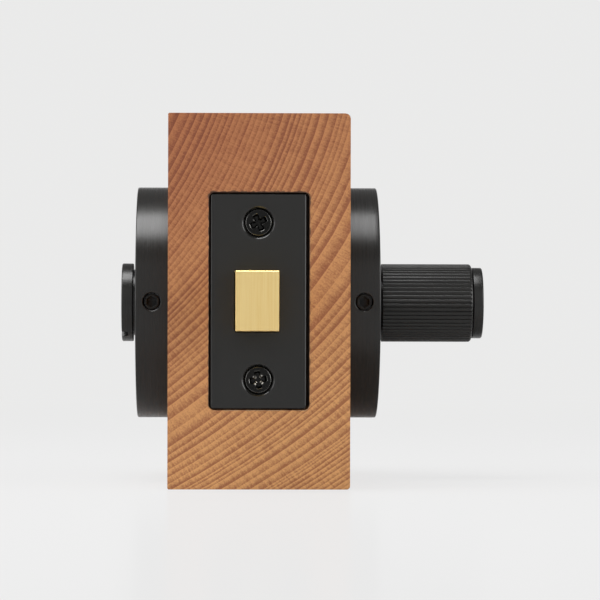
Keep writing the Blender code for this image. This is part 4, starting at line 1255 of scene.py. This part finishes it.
def make_release():
    low, high = span("coin_release")
    clip_low, clip_high = span("release_clip")
    washer_low = span("release_washer")[0][0]
    spindle_low = span("spindle")[0][0]
    radius = radius_of("coin_release")
    face, inner_end = low[0], high[0]
    base = face + RELEASE_THICKNESS
    collar = COLLAR_RADII["coin_release"]
    along = np.array([0, -math.cos(COIN_SLOT_ANGLE), -math.sin(COIN_SLOT_ANGLE)])
    across = np.array([0, math.sin(COIN_SLOT_ANGLE), -math.cos(COIN_SLOT_ANGLE)])
    distance, drop = slot_rows(radius)
    t = np.linspace(0, np.pi / 2, 5)
    rings = radius - RELEASE_EDGE * (1 - np.cos(t))
    ring_drop = RELEASE_EDGE * (1 - np.sin(t))
    half_chord = np.sqrt(np.clip(rings**2 - distance[:, None] ** 2, 0, None))
    inner_rows = half_chord[:, -1:] * np.linspace(1, -1, INNER_COLUMNS + 2)[1:-1]
    place = np.concatenate([half_chord, inner_rows, -half_chord[:, ::-1]], axis=1)
    edge_drop = np.concatenate([ring_drop, np.zeros(INNER_COLUMNS), ring_drop[::-1]])
    lowered = np.maximum(drop[:, None], edge_drop[None, :])
    face_grid = (
        TURN_AXIS
        + distance[:, None, None] * across
        + place[..., None] * along
        + (face + lowered)[..., None] * np.array([1, 0, 0])
    )
    rim = np.concatenate([face_grid[:, 0], face_grid[::-1, -1], face_grid[:1, 0]])
    out = rim - TURN_AXIS
    angles = np.arctan2(out[:, 2], -out[:, 1])
    steps = [
        (radius, base - RELEASE_BACK_EDGE),
        (radius - RELEASE_BACK_EDGE, base),
        (collar, base),
        (collar, washer_low - RUNNING_GAP),
        (JOURNAL_RADIUS, washer_low - RUNNING_GAP),
        *stem_steps(inner_end, clip_high[0], clip_low[0], -1)[::-1],
    ]
    square = polygon(angles, SPINDLE_SOCKET, 4)
    socket_end = spindle_low - SPINDLE_END_PLAY
    steps += [(square, inner_end), (square, socket_end), (0, socket_end)]
    skin = np.concatenate([rim[None], turned(steps, angles)])
    make_piece("slotted_release", [face_grid, skin], turned_black, "turn", ["coin_release"])


make_release()

# %% [markdown]
# ## The studio
#
# The product stands on a pale, slightly shiny surface in front of an even, nearly white ground. A
# curved paper sweep would do that in a real studio. Here a flat floor and a low screen take its
# place. Both show the ground's tone to the camera without any lamp, and the screen does so in
# mirrors too.

# %% Ground
GROUND = 0.825
FLOOR_SIZE = 6.0
SCREEN_DISTANCE = 1.25
SCREEN_HEIGHT = 0.50
NEAR_FLOOR, FAR_FLOOR = 0.15, 0.90


def ground_material(name, paper_tone, near_tone, own_light, own_light_in_mirrors, sheen):
    """A pale surface that partly shows its own tone, so that shadows on it stay light.

    Far from the object it shows nothing else, so that floor and screen meet without a line."""
    material = bpy.data.materials.new(name)
    material.use_nodes = True
    tree = material.node_tree
    tree.nodes.remove(tree.nodes["Principled BSDF"])
    output = tree.nodes["Material Output"]
    path = tree.nodes.new("ShaderNodeLightPath")
    mirrored = Wire(path.outputs["Is Glossy Ray"]) + Wire(path.outputs["Is Transmission Ray"])
    x, y, z = Wire(tree.nodes.new("ShaderNodeTexCoord").outputs["Object"]).parts()
    far = x.hypotenuse(y).rise(NEAR_FLOOR, FAR_FLOOR)
    own = far * (1 - own_light) + own_light
    from_camera = Wire(path.outputs["Is Camera Ray"])
    seen = from_camera * own + mirrored * own_light_in_mirrors
    tone = far.mixed((near_tone,) * 3, (GROUND, GROUND, GROUND * 0.996))
    lit = seen.node("ShaderNodeBsdfDiffuse", inputs={"Color": (paper_tone,) * 3 + (1.0,)})
    gloss = seen.node("ShaderNodeBsdfGlossy", inputs={"Color": (1, 1, 1, 1), "Roughness": 0.18})
    paper = seen.node("ShaderNodeMixShader", inputs={0: from_camera * sheen, 1: lit, 2: gloss})
    glow = seen.node("ShaderNodeEmission", inputs={"Color": tone, "Strength": 1.0})
    mixed = seen.node("ShaderNodeMixShader", inputs={0: seen, 1: paper, 2: glow})
    tree.links.new(mixed.socket, output.inputs["Surface"])
    return material


def make_sheet(name, near, far, material):
    """A flat sheet between two lines along X, each given by its place along Y and its height."""
    half = FLOOR_SIZE / 2
    corners = [(-half, *near), (half, *near), (half, *far), (-half, *far)]
    mesh = bpy.data.meshes.new(name)
    mesh.from_pydata(corners, [], [(0, 1, 2, 3)])
    mesh.materials.append(material)
    sheet = bpy.data.objects.new(name, mesh)
    bpy.context.scene.collection.objects.link(sheet)


floor_level = block_low[2] - 0.05 * MM
make_sheet(
    "floor",
    (-FLOOR_SIZE / 2, floor_level),
    (FLOOR_SIZE / 2, floor_level),
    ground_material(
        "pale_floor", 0.50, near_tone=0.885, own_light=0.78, own_light_in_mirrors=0.0, sheen=0.30
    ),
)
make_sheet(
    "screen",
    (SCREEN_DISTANCE, floor_level),
    (SCREEN_DISTANCE, SCREEN_HEIGHT),
    ground_material(
        "pale_screen", GROUND, near_tone=GROUND, own_light=1.0, own_light_in_mirrors=1.0, sheen=0.0
    ),
)

# %% [markdown]
# ## Light
#
# One wide soft box hangs overhead, a little in front and to the left: it draws the grey band along
# the roses and the lines on the grip. Two panels stand at the sides and light the bevels. A large dim
# card behind the camera shows the wood and is what the plate and the bolt, which face it, mirror.

# %% Lamps and surroundings
def soft_box(name, place, target, width, height, radiance):
    """An area lamp with a given radiance: its power is radiance * pi * area.

    The camera doesn't see the lamp itself, only its light and its mirror image."""
    lamp = bpy.data.lights.new(name, "AREA")
    lamp.shape = "RECTANGLE"
    lamp.size, lamp.size_y = width, height
    lamp.energy = radiance * math.pi * width * height
    thing = bpy.data.objects.new(name, lamp)
    thing.location = place
    direction = np.array(target) - np.array(place)
    thing.rotation_euler = Vector(direction).to_track_quat("-Z", "Y").to_euler()
    thing.visible_camera = False
    bpy.context.scene.collection.objects.link(thing)


OBJECT_MIDDLE = (0.0, 0.0, 0.05)
MIRRORED_ROOM, ROOM = 0.22, 0.27
soft_box("overhead", (-0.34, -0.120, 0.95), (-0.34, -0.120, 0), 0.90, 0.49, radiance=7.9)
soft_box("left_panel", (-0.95, -0.31, 0.25), OBJECT_MIDDLE, 0.9, 0.8, radiance=2.4)
soft_box("right_panel", (0.95, -0.31, 0.25), OBJECT_MIDDLE, 0.9, 0.8, radiance=4.2)
soft_box("front_card", (0.0, -1.9, 0.80), OBJECT_MIDDLE, 2.4, 1.7, radiance=0.50)


def surroundings():
    """The ground's tone for what the camera sees, and a dim grey room for everything else."""
    world = bpy.data.worlds.new("room")
    bpy.context.scene.world = world
    world.use_nodes = True
    tree = world.node_tree
    path = tree.nodes.new("ShaderNodeLightPath")
    seen = Wire(path.outputs["Is Camera Ray"])
    mirror = Wire(path.outputs["Is Glossy Ray"])
    level = seen * GROUND + mirror * MIRRORED_ROOM + (1 - (seen + mirror).clamped()) * ROOM
    Wire.feed(tree.nodes["Background"].inputs["Strength"], level)
    tree.nodes["Background"].inputs["Color"].default_value = (1.0, 1.0, 0.998, 1.0)


surroundings()

# %% [markdown]
# ## Camera
#
# The photograph was taken from in front of the door's edge, about 0.83 m away, a little to the left
# of the middle and just below it. A long lens at that distance keeps the sides of the block out of
# sight and still shows the rims of both roses.

# %% Place the camera
CAMERA_PLACE = (-0.0090, -0.8794, 0.0443)
CAMERA_TURN = math.radians(1.368)
CAMERA_TILT = math.radians(0.400)
CAMERA_ROLL = math.radians(0.124)
LENS = 188.3

camera = bpy.data.cameras.new("camera")
camera.lens = LENS
camera.sensor_width = 36.0
viewer = bpy.data.objects.new("camera", camera)
viewer.location = CAMERA_PLACE
viewer.rotation_euler = (math.pi / 2 + CAMERA_TILT, -CAMERA_ROLL, -CAMERA_TURN)
bpy.context.scene.collection.objects.link(viewer)
bpy.context.scene.camera = viewer
bpy.context.scene.view_settings.view_transform = "Standard"
